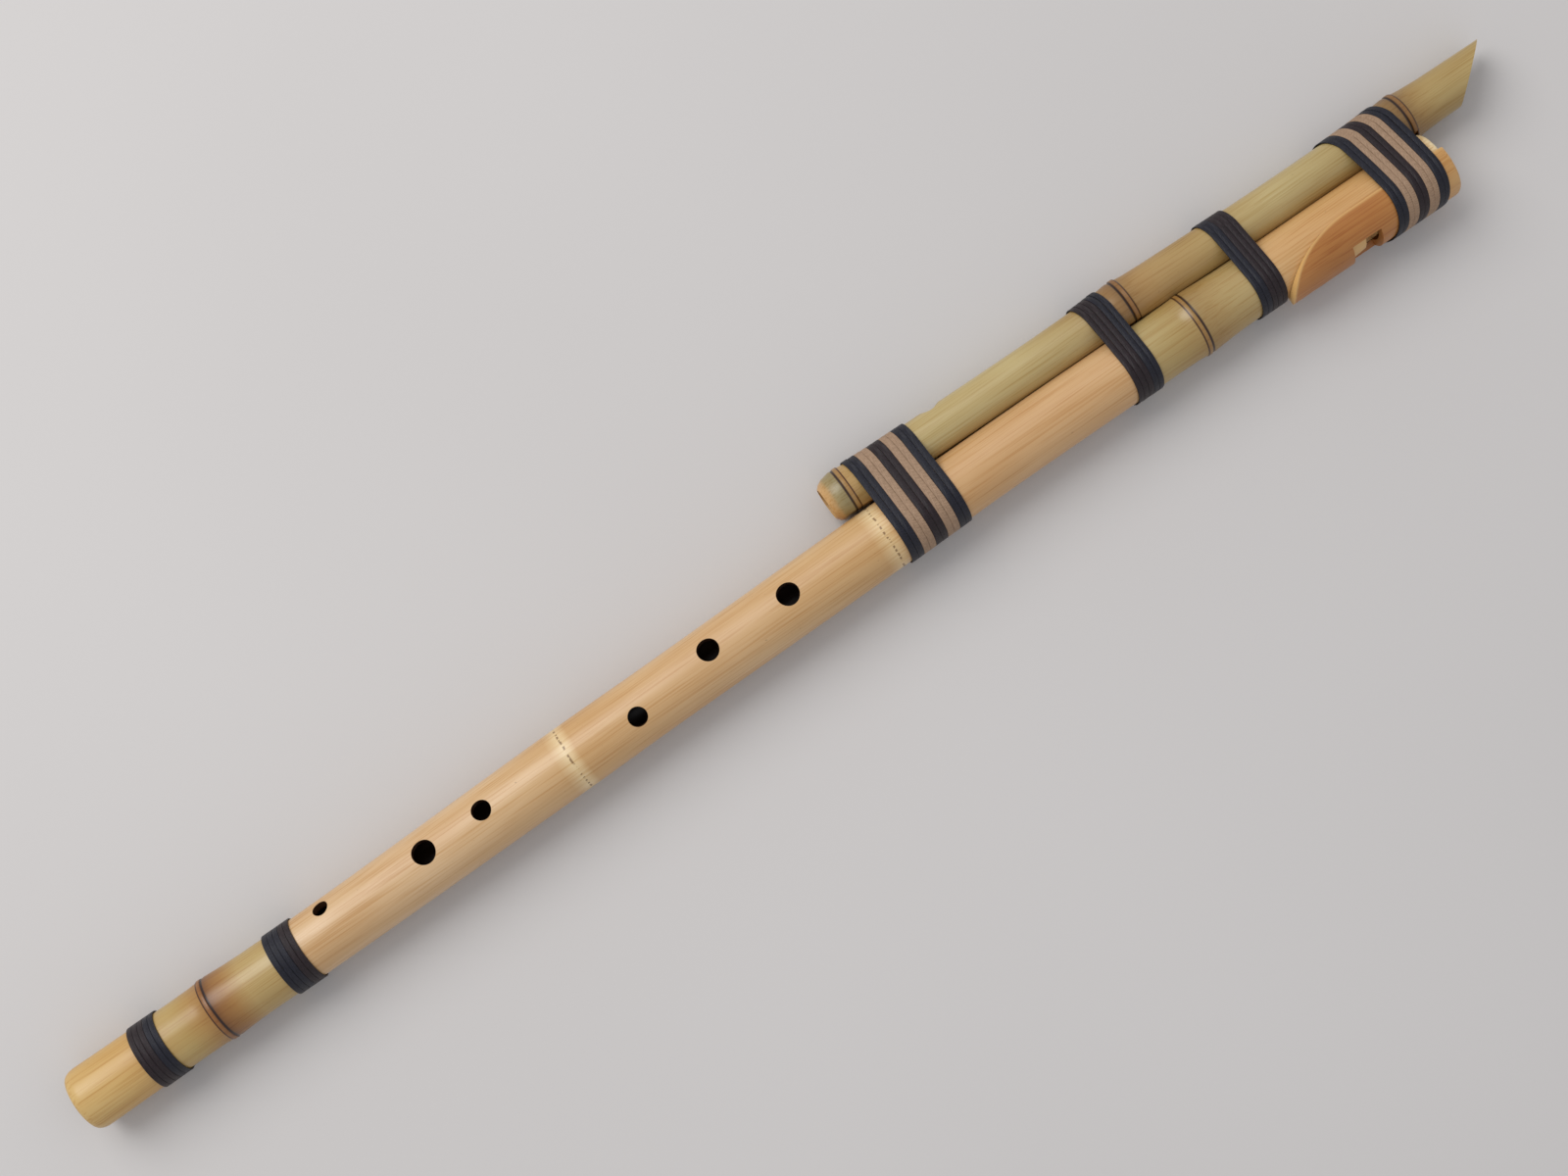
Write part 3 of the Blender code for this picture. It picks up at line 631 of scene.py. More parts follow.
def make_blow_tube(joint_drill, finish):
    tube = add_object("blow cane", turned_mesh("blow cane", blow_profile(), BLOW_SIDES, blow_centre))
    low, _, high = [BLOW_START_X + place for place, _ in BLOW_NODES]
    half = SEPTUM_THICKNESS / 2.0
    tail_end = BLOW_START_X + BLOW_LENGTH + BORE_PAST_TAIL
    bores = (
        bore_cutter("end_cup", BLOW_START_X - BORE_PAST_END, low - half, BLOW_BORE_RADIUS),
        bore_cutter("air_bore", low + half, high - half, BLOW_BORE_RADIUS),
        bore_cutter("tail_bore", high + half, tail_end, BLOW_BORE_RADIUS),
    )
    for cutter in bores:
        cut(tube, cutter)
    hole_x = BLOW_START_X + BLOW_HOLE_FROM_END
    outward_way = direction(90.0)
    hole_start = blow_centre(hole_x) + outward_way * BLOW_HOLE_INSET
    hole = drill("blow_hole", hole_start, outward_way, BLOW_HOLE_DIAMETER / 2.0)
    flat_distance = between(BLOW_RADII, FLAT_STATION) - SEAT_GAP
    flat = mating_cutter("blow_flat", flat_distance, towards_main=True)
    for cutter in (hole, joint_drill, flat, tail_cutter()):
        cut(tube, cutter)
    return settle(tube, finish, "cane_with_skin", "blow_tube")


def convex_outline(points, start):
    """Convex outline of (y, z) points, clockwise as seen from the head, from the one nearest the start."""
    points = sorted(set(points))

    def half(row):
        kept = []
        for p in row:
            while len(kept) > 1:
                (ay, az), (by, bz) = kept[-2], kept[-1]
                if (by - ay) * (p[1] - az) - (bz - az) * (p[0] - ay) > 0.0:
                    break
                kept.pop()
            kept.append(p)
        return kept[:-1]

    outline = half(points) + half(points[::-1])
    outline = outline[::-1]
    first = min(range(len(outline)), key=lambda k: math.dist(outline[k], start))
    return outline[first:] + outline[:first]


def lace_outline(x, width, round_both):
    """Points that a taut lace's middle passes at this station: the convex outline of what it binds."""
    stand_off = SEAT_GAP + LACE_THICKNESS / 2.0
    turns = range(0, 360, OUTLINE_DEGREES)
    centre = main_centre(x)
    reach_below = widest(MAIN_SIDE, x, width / 2.0) + stand_off
    points = [centre + direction(turn) * reach_below for turn in turns]
    if round_both:
        reach = widest(BLOW_SIDE, x, width / 2.0) + stand_off
        points += [blow_centre(x) + direction(turn) * reach for turn in turns]
    if x > NOSE_X + COVER_NOSE_LENGTH:
        for k in range(-OUTLINE_COVER_STEPS, OUTLINE_COVER_STEPS + 1):
            turn = COVER_HALF_SPAN * k / OUTLINE_COVER_STEPS
            points.append(centre + direction(COVER_TURN + turn) * (cover_radius(x, turn) + stand_off))
    return convex_outline([(point.y, point.z) for point in points], (centre.y, centre.z - reach_below))


def spread_points(outline, count):
    """Evenly spread points on a closed outline, closer together where it turns."""
    size = len(outline)
    closed = outline + outline[:1]
    lengths = [math.dist(a, b) for a, b in zip(closed, closed[1:])]
    headings = [math.atan2(b[1] - a[1], b[0] - a[0]) for a, b in zip(closed, closed[1:])]
    around = sum(lengths)
    measure = [0.0]
    for k in range(size):
        turn = abs((headings[k] - headings[k - 1] + math.pi) % (2.0 * math.pi) - math.pi)
        following = abs((headings[(k + 1) % size] - headings[k] + math.pi) % (2.0 * math.pi) - math.pi)
        bend = (turn + following) / (4.0 * math.pi)
        measure.append(measure[-1] + lengths[k] / around + bend)
    found = []
    k = 0
    for i in range(count):
        wanted = measure[-1] * i / count
        while measure[k + 1] < wanted:
            k += 1
        share = (wanted - measure[k]) / (measure[k + 1] - measure[k])
        a, b = closed[k], closed[k + 1]
        found.append((a[0] + share * (b[0] - a[0]), a[1] + share * (b[1] - a[1])))
    return found


def winding_points(first_x, turns, pitch, width, skew, round_both):
    """Centre line of one lace: level turns that step over underneath, from the bottom of the main tube."""
    points = []
    last = (turns - 1) * LOOP_POINTS + int(STEP_FROM * LOOP_POINTS)
    for k in range(last + 1):
        loop, place = divmod(k, LOOP_POINTS)
        share = place / LOOP_POINTS
        step = smooth_step((share - STEP_FROM) / (1.0 - STEP_FROM))
        slant = math.cos(2.0 * math.pi * (share - SKEW_PEAK))
        x = first_x + pitch * (loop + step) + skew * slant
        y, z = spread_points(lace_outline(x, width, round_both), LOOP_POINTS)[place]
        points.append(Vector((x, y, z)))
    return points


STRIPES = tuple((colour, 2) for colour in ("navy", "tan", "brown", "tan", "navy"))

# Name, middle from the foot, colours from the foot with their turns, pitch, skew, and if round both tubes
BINDINGS = (
    ("foot_binding", 0.0356, (("brown", 3), ("navy", 2)), 0.00236, 0.0, False),
    ("foot_joint_binding", 0.0975, (("navy", 3), ("brown", 2)), 0.00242, 0.0, False),
    ("lower_binding", MAIN_LENGTH - 0.2450, STRIPES, 0.00285, 0.0010, True),
    ("middle_binding", MAIN_LENGTH - 0.1458, (("brown", 3), ("navy", 2)), 0.00238, 0.0019, True),
    ("nose_binding", MAIN_LENGTH - 0.0864, (("navy", 2), ("brown", 3)), 0.00238, 0.0016, True),
    ("upper_binding", MAIN_LENGTH - 0.0205, STRIPES, 0.00242, 0.0047, True),
)


def add_object(name, data):
    obj = bpy.data.objects.new(name, data)
    bpy.context.scene.collection.objects.link(obj)
    return obj


def evaluated_mesh(obj, name):
    """The mesh that the object's modifiers make."""
    graph = bpy.context.evaluated_depsgraph_get()
    mesh = bpy.data.meshes.new_from_object(obj.evaluated_get(graph))
    mesh.name = name
    return mesh


def hand_over(name, mesh, finish, slot, *nodes):
    """Make the finished piece that stands for CAD nodes, at its place in the frame."""
    mesh.transform(Matrix.Translation(FOOT_PLACE))
    mesh.materials.clear()
    mesh.materials.append(finish)
    piece = add_object(name, mesh)
    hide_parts(*nodes)
    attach(piece, "root")
    return piece


def mark_cuts_and_painted_light(mesh, cut_and_light_share):
    """Store on each face corner how far it takes the cut colour, which paints cut and scorched surfaces,
    shade in the bore and a highlight along the cover's edge.
    """
    marks = mesh.attributes.new("cut_face_and_painted_light", "FLOAT", "CORNER")
    for face in mesh.polygons:
        for corner in face.loop_indices:
            spot = mesh.vertices[mesh.loops[corner].vertex_index].co
            marks.data[corner].value = cut_and_light_share(face, spot)


def hole_walls_and_bore_shade(face, _):
    """Faces below the skin, on the stretch that has the finger holes: the scorched hole walls, and the
    bore seen through them, darkened as painted shade.
    """
    x = face.center.x
    below_skin = (face.center - main_centre(x)).yz.length < main_radius(x) - SKIN_DEPTH
    return 1.0 if below_skin and HOLES_FROM < x < HOLES_TO else 0.0


def edge_distance(spot, turn, arm):
    """How far in from the cover's outline a spot lies, across the tube or along it."""
    share = min(max((spot.x - NOSE_X) / COVER_NOSE_LENGTH, 0.0), 1.0)
    span = COVER_HALF_SPAN * math.sqrt(1.0 - (1.0 - share) ** 2)
    across = math.radians(span - turn) * arm.yz.length
    nose_share = 1.0 - math.sqrt(max(1.0 - (turn / COVER_HALF_SPAN) ** 2, 0.0))
    return min(across, spot.x - (NOSE_X + COVER_NOSE_LENGTH * nose_share))


def cover_edge(face, spot):
    """The cover's sawn edge with a narrow painted highlight along it, and the floor of the window's ramp;
    the window's walls keep the cover's darker colour as painted shade.
    """
    middle = face.center
    arm = middle - main_centre(middle.x)
    facing = abs(arm.yz.normalized().dot(face.normal.yz))
    reach = spot - main_centre(spot.x)
    turn = math.degrees(math.atan2(reach.y, reach.z)) - COVER_TURN
    turn = abs((turn + 180.0) % 360.0 - 180.0)
    by_window = WINDOW_FOOT_X - MARK_MARGIN < middle.x < WINDOW_HEAD_X + MARK_MARGIN
    # The window's sawn walls keep the cover's darker colour as painted shade; only the sunk ramp floor
    # that faces outwards takes the pale cut colour
    if by_window and turn < WINDOW_HALF_ANGLE + 1.0:
        sunk = arm.yz.length < main_radius(middle.x) + COVER_CROWN_RISE - RAMP_MARK_DEPTH
        return 1.0 if sunk and facing > FLOOR_FACING else 0.0
    if facing < EDGE_FACING:
        return 1.0
    # Painted highlight: a pale band on the outer face along the cover's edge, fading inwards
    return EDGE_HIGHLIGHT_SHARE * (1.0 - smooth_step(edge_distance(spot, turn, reach) / EDGE_HIGHLIGHT_WIDTH))


def settle(obj, finish, slot, node, cut_and_light_share=None):
    """Apply a cane piece's cuts, smooth its round faces and hand it over."""
    mesh = evaluated_mesh(obj, obj.name)
    bm = bmesh.new()
    bm.from_mesh(mesh)
    bmesh.ops.remove_doubles(bm, verts=bm.verts, dist=WELD)
    bm.to_mesh(mesh)
    bm.free()
    bpy.data.objects.remove(obj, do_unlink=True)
    mesh.shade_smooth()
    mesh.set_sharp_from_angle(angle=CANE_SHARP_ANGLE)
    if cut_and_light_share:
        mark_cuts_and_painted_light(mesh, cut_and_light_share)
    return hand_over(node + "_cane", mesh, finish, slot, node)


def linear(colour):
    """An sRGB hex colour as linear red, green, blue and alpha."""
    parts = [int(colour[i : i + 2], 16) / 255.0 for i in (1, 3, 5)]
    return (*[c / 12.92 if c <= 0.04045 else ((c + 0.055) / 1.055) ** 2.4 for c in parts], 1.0)


def add_node(tree, kind, settings=None, **inputs):
    """Add a node with its settings; an input is a value, or an output socket to link.

    An input is called by its name, or by i and its number.
    """
    made = tree.nodes.new(kind)
    for key, value in (settings or {}).items():
        setattr(made, key, value)
    for key, value in inputs.items():
        numbered = key[0] == "i" and key[1:].isdigit()
        socket = made.inputs[int(key[1:]) if numbered else key.replace("_", " ")]
        if isinstance(value, bpy.types.NodeSocket):
            tree.links.new(value, socket)
        else:
            socket.default_value = value
    return made


def calculate(tree, operation, *values):
    """Result of one sum over values and output sockets."""
    inputs = {f"i{number}": value for number, value in enumerate(values)}
    return add_node(tree, "ShaderNodeMath", {"operation": operation}, **inputs).outputs[0]


def new_material(name, roughness):
    made = bpy.data.materials.new(name)
    made.use_nodes = True
    shader = made.node_tree.nodes["Principled BSDF"]
    shader.inputs["Roughness"].default_value = roughness
    return made, made.node_tree, shader


def object_place(tree):
    return add_node(tree, "ShaderNodeTexCoord").outputs["Object"]


def stored(tree, name):
    """A value that the mesh stores under this name."""
    return add_node(tree, "ShaderNodeAttribute", {"attribute_name": name}).outputs["Fac"]


def ramp(tree, value, stops):
    """Colour ramp over (place, hex colour) stops."""
    made = add_node(tree, "ShaderNodeValToRGB", Fac=value)
    elements = made.color_ramp.elements
    while len(elements) > 1:
        elements.remove(elements[-1])
    elements[0].position, elements[0].color = stops[0][0], linear(stops[0][1])
    for place, colour in stops[1:]:
        elements.new(place).color = linear(colour)
    return made.outputs["Color"]


def grey_ramp(tree, value, low, high, dark=0.0, light=1.0):
    """Grey level between two places of a value."""
    made = add_node(tree, "ShaderNodeMapRange", {"clamp": True}, Value=value)
    for key, number in (("From Min", low), ("From Max", high), ("To Min", dark), ("To Max", light)):
        made.inputs[key].default_value = number
    return made.outputs["Result"]


def mix_colours(tree, way, share, first, second):
    """Mix two colours in the named way; the second is an output socket or a hex colour."""
    if isinstance(second, str):
        second = linear(second)
    settings = {"data_type": "RGBA", "blend_type": way}
    return add_node(tree, "ShaderNodeMix", settings, i0=share, i6=first, i7=second).outputs[2]


def stretched_noise(tree, place, along, across, detail=4.0, seed=0.0):
    """Noise whose marks are this long along the cane and this wide across it, in metres."""
    mapping = add_node(tree, "ShaderNodeMapping", Vector=place)
    mapping.inputs["Scale"].default_value = (1.0 / along, 1.0 / across, 1.0 / across)
    mapping.inputs["Location"].default_value = (seed, seed * 0.7, seed * 1.3)
    moved = mapping.outputs["Vector"]
    return add_node(tree, "ShaderNodeTexNoise", Vector=moved, Scale=1.0, Detail=detail).outputs["Fac"]


def relief(tree, shader, height, strength, depth):
    """Fine relief in the shading, from a height."""
    bump = add_node(tree, "ShaderNodeBump", Strength=strength, Distance=depth, Height=height)
    tree.links.new(bump.outputs["Normal"], shader.inputs["Normal"])


# Marks in a finish: length along the cane, width across it, detail and seed
WANDER_MARKS = (0.02, 0.006, 2.0, 3.0)
FIBRE_MARKS = (0.045, 0.0007, 5.0)
BLOTCH_MARKS = (0.06, 0.012, 3.0, 7.0)
SPECK_MARKS = (0.0022, 0.0012, 2.0, 11.0)
SCAR_MARKS = (0.004, 0.0011, 1.0, 5.0)
RING_MARKS = (0.02, 0.0016, 3.0)
CREST_NOISE_MARKS = (0.0012, 0.0012, 3.0)
SHEET_MARKS = (0.5, 0.5, 2.0)

# Where a value goes from one grey level to another, and the two levels where they aren't 0 and 1
FIBRE_RANGE = (0.3, 0.7)
BLOTCH_RANGE = (0.35, 0.7)
SPECK_RANGE = (0.74, 0.8, 0.0, 0.55)
SCAR_RING_RANGE = (0.0002, 0.0006, 0.8, 0.0)
SCAR_RANGE = (0.5, 0.56)
GLOSS_RANGE = (0.3, 0.7)
BRAID_RANGE = (-0.1, 1.1)

# Relief: strength and depth
FIBRE_RELIEF = (0.25, 0.0002)
RING_RELIEF = (0.3, 0.0002)
BRAID_RELIEF = (0.7, 0.00012)

# Tints and small reaches
WANDER_REACH = 0.0012
STREAK_END = 0.55
GLOSS_FALL = 0.06
GLOSS_RISE = 0.08
CLOUD_TINTS = ((0.0, "#ffffff"), (1.0, "#f2e8d8"))
RING_TINTS = ((0.3, "#8a6238"), (0.7, "#b08853"))
SHEET_TINTS = ((0.3, "#cbc7c4"), (0.7, "#d0ccc9"))
SPECK_BROWN = "#6b4a25"
SCAR_BROWN = "#6f4a26"

# Tints across a raised joint, from its reach before it to its reach past it: its lines, then its stain
JOINT_REACH = 0.016
JOINT_LINES = (
    (0.0, "#ffffff"), (0.445, "#ffffff"), (0.452, "#7a5c48"), (0.462, "#5a4033"), (0.472, "#efdcc6"),
    (0.51, "#f6e6d2"), (0.52, "#5c4134"), (0.538, "#4a3228"), (0.552, "#ffffff"),
)
JOINT_STAIN = (
    (0.0, "#ffffff"), (0.3, "#f6eadb"), (0.45, "#e6d3bc"), (0.55, "#a98a72"), (0.62, "#c8a98c"),
    (0.78, "#e4ccb2"), (1.0, "#ffffff"),
)

# Main tube, in mm from the foot: scraped foot, skin, scraped middle, skin, scraped head with a pale rim
MAIN_ZONES = (
    (0.0, "#cfae70"), (22.0, "#cba768"), (35.0, "#c39c60"), (35.5, "#b89a62"), (50.0, "#b49a60"),
    (62.5, "#b08f5a"), (84.0, "#b59c66"), (97.0, "#b59c66"), (97.5, "#cfac80"), (160.0, "#d3b289"),
    (224.0, "#cda878"), (226.6, "#e4cda2"), (230.0, "#dec294"), (232.5, "#cba472"), (300.0, "#d1ae82"),
    (371.0, "#cba674"), (374.4, "#e2ca9e"), (377.6, "#dcbf90"), (381.0, "#caa06e"), (440.0, "#d0aa7c"),
    (494.0, "#cca474"), (494.5, "#b39e6c"), (512.0, "#ad955f"), (523.0, "#a98f5b"), (551.0, "#b39c6a"),
    (551.5, "#d0a874"), (600.0, "#cfa56e"), (634.0, "#d0a872"), (636.5, "#e6d0a4"), (638.0, "#e8d4aa"),
)
MAIN_SPAN = (0.0, 0.640)
MAIN_JOINTS = ((62.5, 1.0, 1.0), (522.2, 1.0, 0.3))
MAIN_SCARS = (228.3, 375.8)

# Blow tube, in mm from the foot: scraped end, then greenish skin that browns towards its joints
BLOW_ZONES = (
    (365.0, "#d2ae78"), (367.2, "#caa46e"), (368.2, "#a6976c"), (372.0, "#999068"), (376.0, "#bd9d68"),
    (386.0, "#b09a62"), (398.0, "#b9a674"), (455.0, "#bba977"), (480.0, "#b09a68"), (497.0, "#a5895a"),
    (505.6, "#a08355"), (516.0, "#ab8c5a"), (545.0, "#ad935f"), (575.0, "#b7a371"), (610.0, "#ab9664"),
    (630.0, "#9c8457"), (637.3, "#9a7f50"), (650.0, "#ab935f"), (681.0, "#b29c68"),
)
BLOW_SPAN = (0.365, 0.682)
BLOW_JOINTS = ((374.4, -1.0, 0.3), (505.6, -1.0, 0.6), (637.4, -1.0, 0.6))

# Windway cover, in mm from the foot: deep orange brown, paler at the head end
COVER_ZONES = (
    (559.0, "#b87e42"), (580.0, "#aa7034"), (600.0, "#b07539"), (622.0, "#bd8748"), (639.5, "#d0a468"),
)
COVER_SPAN = (0.559, 0.640)


def cane_finish(name, stops, span, grain, gloss, cut_and_painted_light_colour=None, joints=(), scars=()):
    """Cane: colour zones along the tube, long fibres, blotches, and the fine relief of the fibres.

    Stops, joints and scars are placed in mm from the foot; the span of the stops is in metres. A joint
    also has the side that its stain fades on, and the stain's strength.
    """
    made, tree, shader = new_material(name, gloss)
    place = object_place(tree)
    x_place = add_node(tree, "ShaderNodeSeparateXYZ", Vector=place).outputs["X"]
    wander = stretched_noise(tree, place, *WANDER_MARKS)
    moved = calculate(tree, "MULTIPLY_ADD", wander, WANDER_REACH, -WANDER_REACH / 2.0)
    shifted = calculate(tree, "ADD", x_place, moved)
    start, end = span
    along = grey_ramp(tree, shifted, start + FOOT_PLACE.x, end + FOOT_PLACE.x)
    length = (end - start) * 1000.0
    colour = ramp(tree, along, [((mm - start * 1000.0) / length, shade) for mm, shade in stops])

    # Fibres run the length of the cane, with softer blotches over them
    fibres = stretched_noise(tree, place, *FIBRE_MARKS)
    streaks = ramp(tree, grey_ramp(tree, fibres, *FIBRE_RANGE), ((0.0, grain), (STREAK_END, "#ffffff")))
    blotches = stretched_noise(tree, place, *BLOTCH_MARKS)
    cloud = ramp(tree, grey_ramp(tree, blotches, *BLOTCH_RANGE), CLOUD_TINTS)
    colour = mix_colours(tree, "MULTIPLY", 1.0, colour, streaks)
    colour = mix_colours(tree, "MULTIPLY", 1.0, colour, cloud)

    # A raised joint: a pale ring between two dark lines, and a brown stain that fades on one side
    for mm, side, stain in joints:
        x = mm / 1000.0 + FOOT_PLACE.x
        across = grey_ramp(tree, x_place, x - JOINT_REACH * side, x + JOINT_REACH * side)
        colour = mix_colours(tree, "MULTIPLY", 1.0, colour, ramp(tree, across, JOINT_LINES))
        colour = mix_colours(tree, "MULTIPLY", stain, colour, ramp(tree, across, JOINT_STAIN))

    # Small dark specks, as on weathered cane
    specks = stretched_noise(tree, place, *SPECK_MARKS)
    colour = mix_colours(tree, "MIX", grey_ramp(tree, specks, *SPECK_RANGE), colour, SPECK_BROWN)

    # A joint that is scraped level keeps a row of dark root scars in its pale ring
    for mm in scars:
        away = calculate(tree, "SUBTRACT", shifted, mm / 1000.0 + FOOT_PLACE.x)
        ring = grey_ramp(tree, calculate(tree, "ABSOLUTE", away), *SCAR_RING_RANGE)
        dots = grey_ramp(tree, stretched_noise(tree, place, *SCAR_MARKS), *SCAR_RANGE)
        colour = mix_colours(tree, "MIX", calculate(tree, "MULTIPLY", ring, dots), colour, SCAR_BROWN)

    # Marked faces take the cut colour: sawn or scorched faces, painted shade in the bore behind the finger
    # holes, and a painted highlight along the cover's edge
    if cut_and_painted_light_colour:
        colour = mix_colours(tree, "MIX", stored(tree, "cut_face_and_painted_light"), colour, cut_and_painted_light_colour)
    tree.links.new(colour, shader.inputs["Base Color"])
    rough = grey_ramp(tree, blotches, *GLOSS_RANGE, gloss - GLOSS_FALL, gloss + GLOSS_RISE)
    tree.links.new(rough, shader.inputs["Roughness"])
    relief(tree, shader, fibres, *FIBRE_RELIEF)
    return made


def stopper_finish():
    """Turned softwood, end grain out: matt, with faint rings."""
    made, tree, shader = new_material("turned stopper wood", 0.6)
    rings = stretched_noise(tree, object_place(tree), *RING_MARKS)
    tree.links.new(ramp(tree, rings, RING_TINTS), shader.inputs["Base Color"])
    relief(tree, shader, rings, *RING_RELIEF)
    return made


# Laces: how much of its pitch a lace covers, the width of one thread, and the colours of each finish, dark
# for the painted shade between threads and light for the painted sheen on their crests
LACE_COVER = 0.975
THREAD_WIDTH = 0.00075
LACE_SHEEN = 0.28
LACE_SHARP_ANGLE = math.radians(50.0)
LACE_LOOKS = {
    "navy": ("waxed navy braid", "#08080d", "#262632", 0.42),
    "brown": ("waxed brown braid", "#0c0808", "#312428", 0.42),
    "tan": ("waxed tan braid", "#80664f", "#b39479", 0.55),
}


def lace_finish(name, dark, light, gloss):
    """Waxed flat braid with a low sheen: slanting threads that meet in a chevron, each lighter on its
    crest as painted sheen and darker between threads as painted shade.
    """
    made, tree, shader = new_material(name, gloss)
    side = calculate(tree, "ABSOLUTE", stored(tree, "across"))
    slant = calculate(tree, "ADD", stored(tree, "along"), side)
    wave = calculate(tree, "SINE", calculate(tree, "MULTIPLY", slant, 2.0 * math.pi / THREAD_WIDTH))
    # Noise that breaks up the painted sheen and shade of the braid
    crest_noise = stretched_noise(tree, object_place(tree), *CREST_NOISE_MARKS)
    height = calculate(tree, "MULTIPLY_ADD", wave, 0.5, crest_noise)
    colour = ramp(tree, grey_ramp(tree, height, *BRAID_RANGE), ((0.0, dark), (1.0, light)))
    tree.links.new(colour, shader.inputs["Base Color"])
    shader.inputs["Specular IOR Level"].default_value = LACE_SHEEN
    relief(tree, shader, height, *BRAID_RELIEF)
    return made


def store_value(tree, geometry, name, value):
    """Store a value on each point of a geometry, under this name."""
    return add_node(
        tree, "GeometryNodeStoreNamedAttribute", {"data_type": "FLOAT", "domain": "POINT"},
        Geometry=geometry, Name=name, Value=value,
    ).outputs["Geometry"]


def lace_tree():
    """Geometry Nodes tree that lays a flat, soft-edged lace along a curve drawn as (y, z, x)."""
    tree = bpy.data.node_groups.new("Flat lace", "GeometryNodeTree")
    tree.interface.new_socket("Geometry", in_out="INPUT", socket_type="NodeSocketGeometry")
    width = tree.interface.new_socket("Width", in_out="INPUT", socket_type="NodeSocketFloat")
    thickness = tree.interface.new_socket("Thickness", in_out="INPUT", socket_type="NodeSocketFloat")
    finish = tree.interface.new_socket("Finish", in_out="INPUT", socket_type="NodeSocketMaterial")
    tree.interface.new_socket("Geometry", in_out="OUTPUT", socket_type="NodeSocketGeometry")
    given = tree.nodes.new("NodeGroupInput").outputs
    upright = add_node(tree, "GeometryNodeSetCurveNormal", {"mode": "Z_UP"}, Curve=given["Geometry"])
    length = add_node(tree, "GeometryNodeSplineParameter").outputs["Length"]
    path = store_value(tree, upright.outputs["Curve"], "along", length)
    section = add_node(
        tree, "GeometryNodeCurvePrimitiveQuadrilateral", {"mode": "RECTANGLE"},
        Width=given["Thickness"], Height=given["Width"],
    )
    edge = calculate(tree, "MULTIPLY", given["Thickness"], LACE_EDGE_SHARE)
    soft = add_node(
        tree, "GeometryNodeFilletCurve", {"mode": "POLY"},
        Curve=section.outputs["Curve"], Radius=edge, Count=LACE_EDGE_STEPS,
    )
    position = add_node(tree, "GeometryNodeInputPosition").outputs[0]
    sideways = add_node(tree, "ShaderNodeSeparateXYZ", Vector=position).outputs["Y"]
    outline = store_value(tree, soft.outputs["Curve"], "across", sideways)
    swept = add_node(tree, "GeometryNodeCurveToMesh", Curve=path, Profile_Curve=outline, Fill_Caps=True)
    quarter = math.radians(90.0)
    turned = add_node(
        tree, "GeometryNodeTransform", Geometry=swept.outputs["Mesh"], Rotation=(quarter, 0.0, quarter)
    )
    real = add_node(tree, "GeometryNodeRealizeInstances", Geometry=turned.outputs["Geometry"])
    dressed = add_node(
        tree, "GeometryNodeSetMaterial", Geometry=real.outputs["Geometry"], Material=given["Finish"]
    )
    result = tree.nodes.new("NodeGroupOutput")
    tree.links.new(dressed.outputs["Geometry"], result.inputs["Geometry"])
    return tree, (width.identifier, thickness.identifier, finish.identifier)


def make_lace(node, points, width, finish, slot, tree, sockets):
    """One lace, laid by the tree along its winding."""
    curve = bpy.data.curves.new(node, "CURVE")
    curve.dimensions = "3D"
    spline = curve.splines.new("POLY")
    spline.points.add(len(points) - 1)
    for target, point in zip(spline.points, points):
        target.co = (point.y, point.z, point.x, 1.0)
    path = add_object(node + " path", curve)
    lay = path.modifiers.new("Lace", "NODES")
    lay.node_group = tree
    for key, value in zip(sockets, (width, LACE_THICKNESS, finish)):
        lay[key] = value
    mesh = outward(evaluated_mesh(path, node + "_lace"))
    bpy.data.objects.remove(path, do_unlink=True)
    mesh.shade_smooth()
    mesh.set_sharp_from_angle(angle=LACE_SHARP_ANGLE)
    return hand_over(node + "_lace", mesh, finish, slot, node)


def make_bindings():
    """All the laces, as wide as their pitch lets them be, so that neighbours nearly touch."""
    finishes = {colour: lace_finish(*look) for colour, look in LACE_LOOKS.items()}
    tree, sockets = lace_tree()
    for name, middle, colours, pitch, skew, round_both in BINDINGS:
        width = pitch * LACE_COVER
        total = sum(turns for _, turns in colours)
        first_x = middle - pitch * (total - 1) / 2.0
        plain = len(colours) == len(dict(colours))
        for number, (colour, turns) in enumerate(colours, start=1):
            node = f"{name}_{colour}" if plain else f"{name}_{number}_{colour}"
            points = winding_points(first_x, turns, pitch, width, skew, round_both)
            make_lace(node, points, width, finishes[colour], colour + "_lace", tree, sockets)
            first_x += pitch * turns


# Floor, light and world
FLOOR_HALF_SIZE = 3.0
LAMP_PLACE = Vector((-0.5, 1.3, 1.5))
LAMP_SIZE = 1.6
LAMP_POWER = 26.0
FILL_COLOUR = "#f4f6fb"
FILL_STRENGTH = 0.62


def make_floor():
    """A plain pale sheet under the flute."""
    bm = bmesh.new()
    bmesh.ops.create_grid(bm, x_segments=1, y_segments=1, size=FLOOR_HALF_SIZE)
    mesh = bpy.data.meshes.new("floor")
    bm.to_mesh(mesh)
    bm.free()
    floor = add_object("floor", mesh)
    made, tree, shader = new_material("pale matt sheet", 0.9)
    cloud = stretched_noise(tree, object_place(tree), *SHEET_MARKS)
    tree.links.new(ramp(tree, cloud, SHEET_TINTS), shader.inputs["Base Color"])
    shader.inputs["Specular IOR Level"].default_value = 0.1
    mesh.materials.append(made)


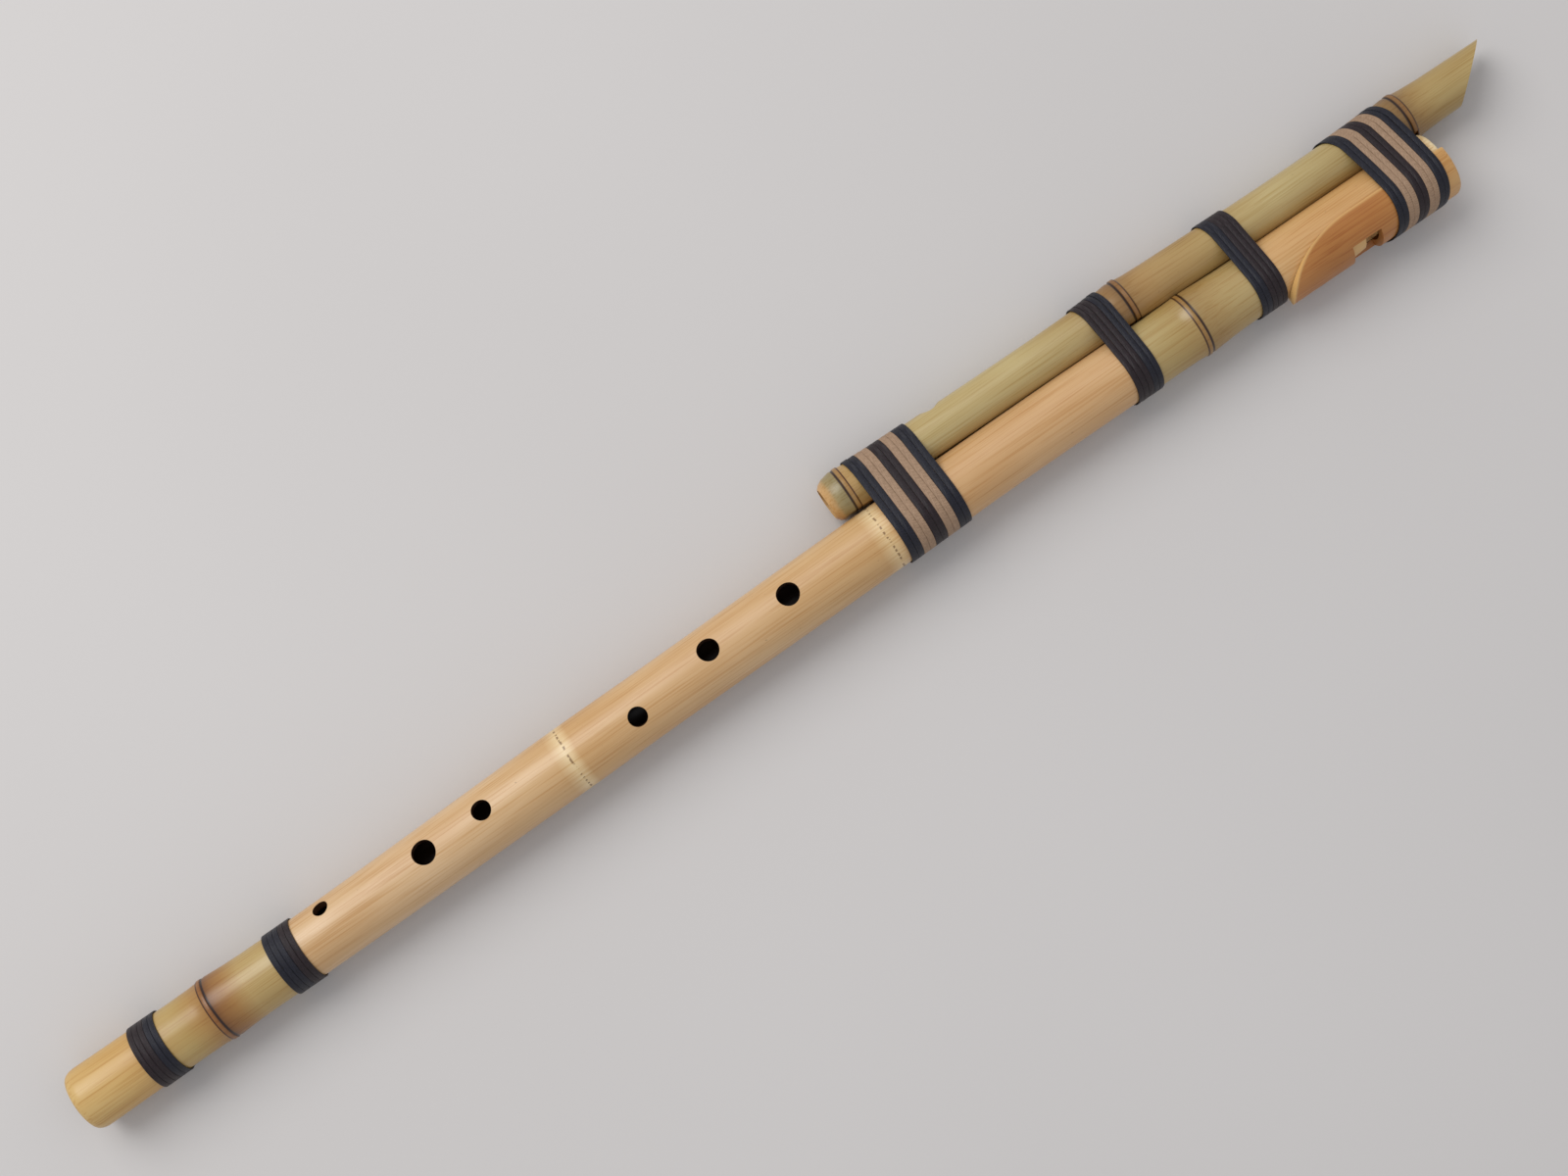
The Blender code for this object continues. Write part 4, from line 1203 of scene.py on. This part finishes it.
def make_light():
    """Soft daylight from the blow tube's side, and an even fill."""
    lamp = bpy.data.lights.new("window light", "AREA")
    lamp.shape = "DISK"
    lamp.size = LAMP_SIZE
    lamp.energy = LAMP_POWER
    obj = add_object("window light", lamp)
    obj.location = LAMP_PLACE
    obj.rotation_euler = (-LAMP_PLACE).to_track_quat("-Z", "Y").to_euler()
    world = bpy.data.worlds.new("even fill")
    world.use_nodes = True
    back = world.node_tree.nodes["Background"]
    back.inputs["Color"].default_value = linear(FILL_COLOUR)
    back.inputs["Strength"].default_value = FILL_STRENGTH
    bpy.context.scene.world = world


# Camera: fitted to the photograph, nearly straight above the flute
CAMERA_FROM_FOOT = Vector((0.2958, 0.0088, 0.9445))
CAMERA_LEAN = math.radians(2.27)
CHORD_TURN = math.radians(1.014)
PICTURE_TURN = math.atan2(0.5572, 0.8304)
SENSOR_WIDTH = 36.0
FOCAL_PIXELS = 2450.0
PICTURE_WIDTH = 1600.0
NEAREST_SEEN = 0.05


def make_camera():
    camera = bpy.data.cameras.new("camera")
    camera.sensor_width = SENSOR_WIDTH
    camera.lens = SENSOR_WIDTH * FOCAL_PIXELS / PICTURE_WIDTH
    camera.clip_start = NEAREST_SEEN
    obj = add_object("camera", camera)
    length_way = Vector((math.cos(CAMERA_LEAN), 0.0, math.sin(CAMERA_LEAN)))
    side_way = Vector((0.0, 1.0, 0.0))
    turn = Matrix.Rotation(-CHORD_TURN, 3, "Z")
    c, s = math.cos(PICTURE_TURN), math.sin(PICTURE_TURN)
    right = turn @ (c * length_way - s * side_way)
    up = turn @ (s * length_way + c * side_way)
    back = right.cross(up)
    rotation = Matrix((right, up, back)).transposed().to_4x4()
    obj.matrix_world = Matrix.Translation(CAMERA_FROM_FOOT + FOOT_PLACE) @ rotation
    bpy.context.scene.camera = obj


CUTTER_NAMES = (
    "window_cutter", "windway_cutter", "air_joint_drill", "air_exit", "main_flat", "blow_flat",
    "blow_hole", "end_cup", "air_bore", "tail_bore", "tail_cut",
)


def main():
    make_camera()
    window = window_cutter()
    joint_drill = air_joint_drill()
    # The main tube's dark cut colour paints the scorched finger-hole walls, and painted shade in the bore
    # seen through them
    skin = cane_finish(
        "main cane", MAIN_ZONES, MAIN_SPAN, grain="#ebdcc4", gloss=0.34, cut_and_painted_light_colour="#3d2617",
        joints=MAIN_JOINTS, scars=MAIN_SCARS,
    )
    # The cover's pale cut colour paints its sawn wood and the painted highlight along its edge
    shell = cane_finish(
        "orange cane shell", COVER_ZONES, COVER_SPAN, grain="#e6d0ae", gloss=0.36, cut_and_painted_light_colour="#d4a868"
    )
    thin = cane_finish("blow cane", BLOW_ZONES, BLOW_SPAN, grain="#e8dcc2", gloss=0.32, joints=BLOW_JOINTS)
    make_main_tube(window, windway_cutter(), joint_drill, skin)
    make_windway_cover(window, shell)
    make_blow_tube(joint_drill, thin)
    wood = stopper_finish()
    for name in ("fipple_block", "head_plug", "air_joint"):
        data = frame["nodes"][name].data
        data.materials.clear()
        data.materials.append(wood)
    make_bindings()
    for obj in list(bpy.data.objects):
        if obj.name in CUTTER_NAMES or obj.name.startswith("finger_hole"):
            bpy.data.objects.remove(obj, do_unlink=True)
    make_floor()
    make_light()
    bpy.context.scene.view_settings.view_transform = "Standard"


main()
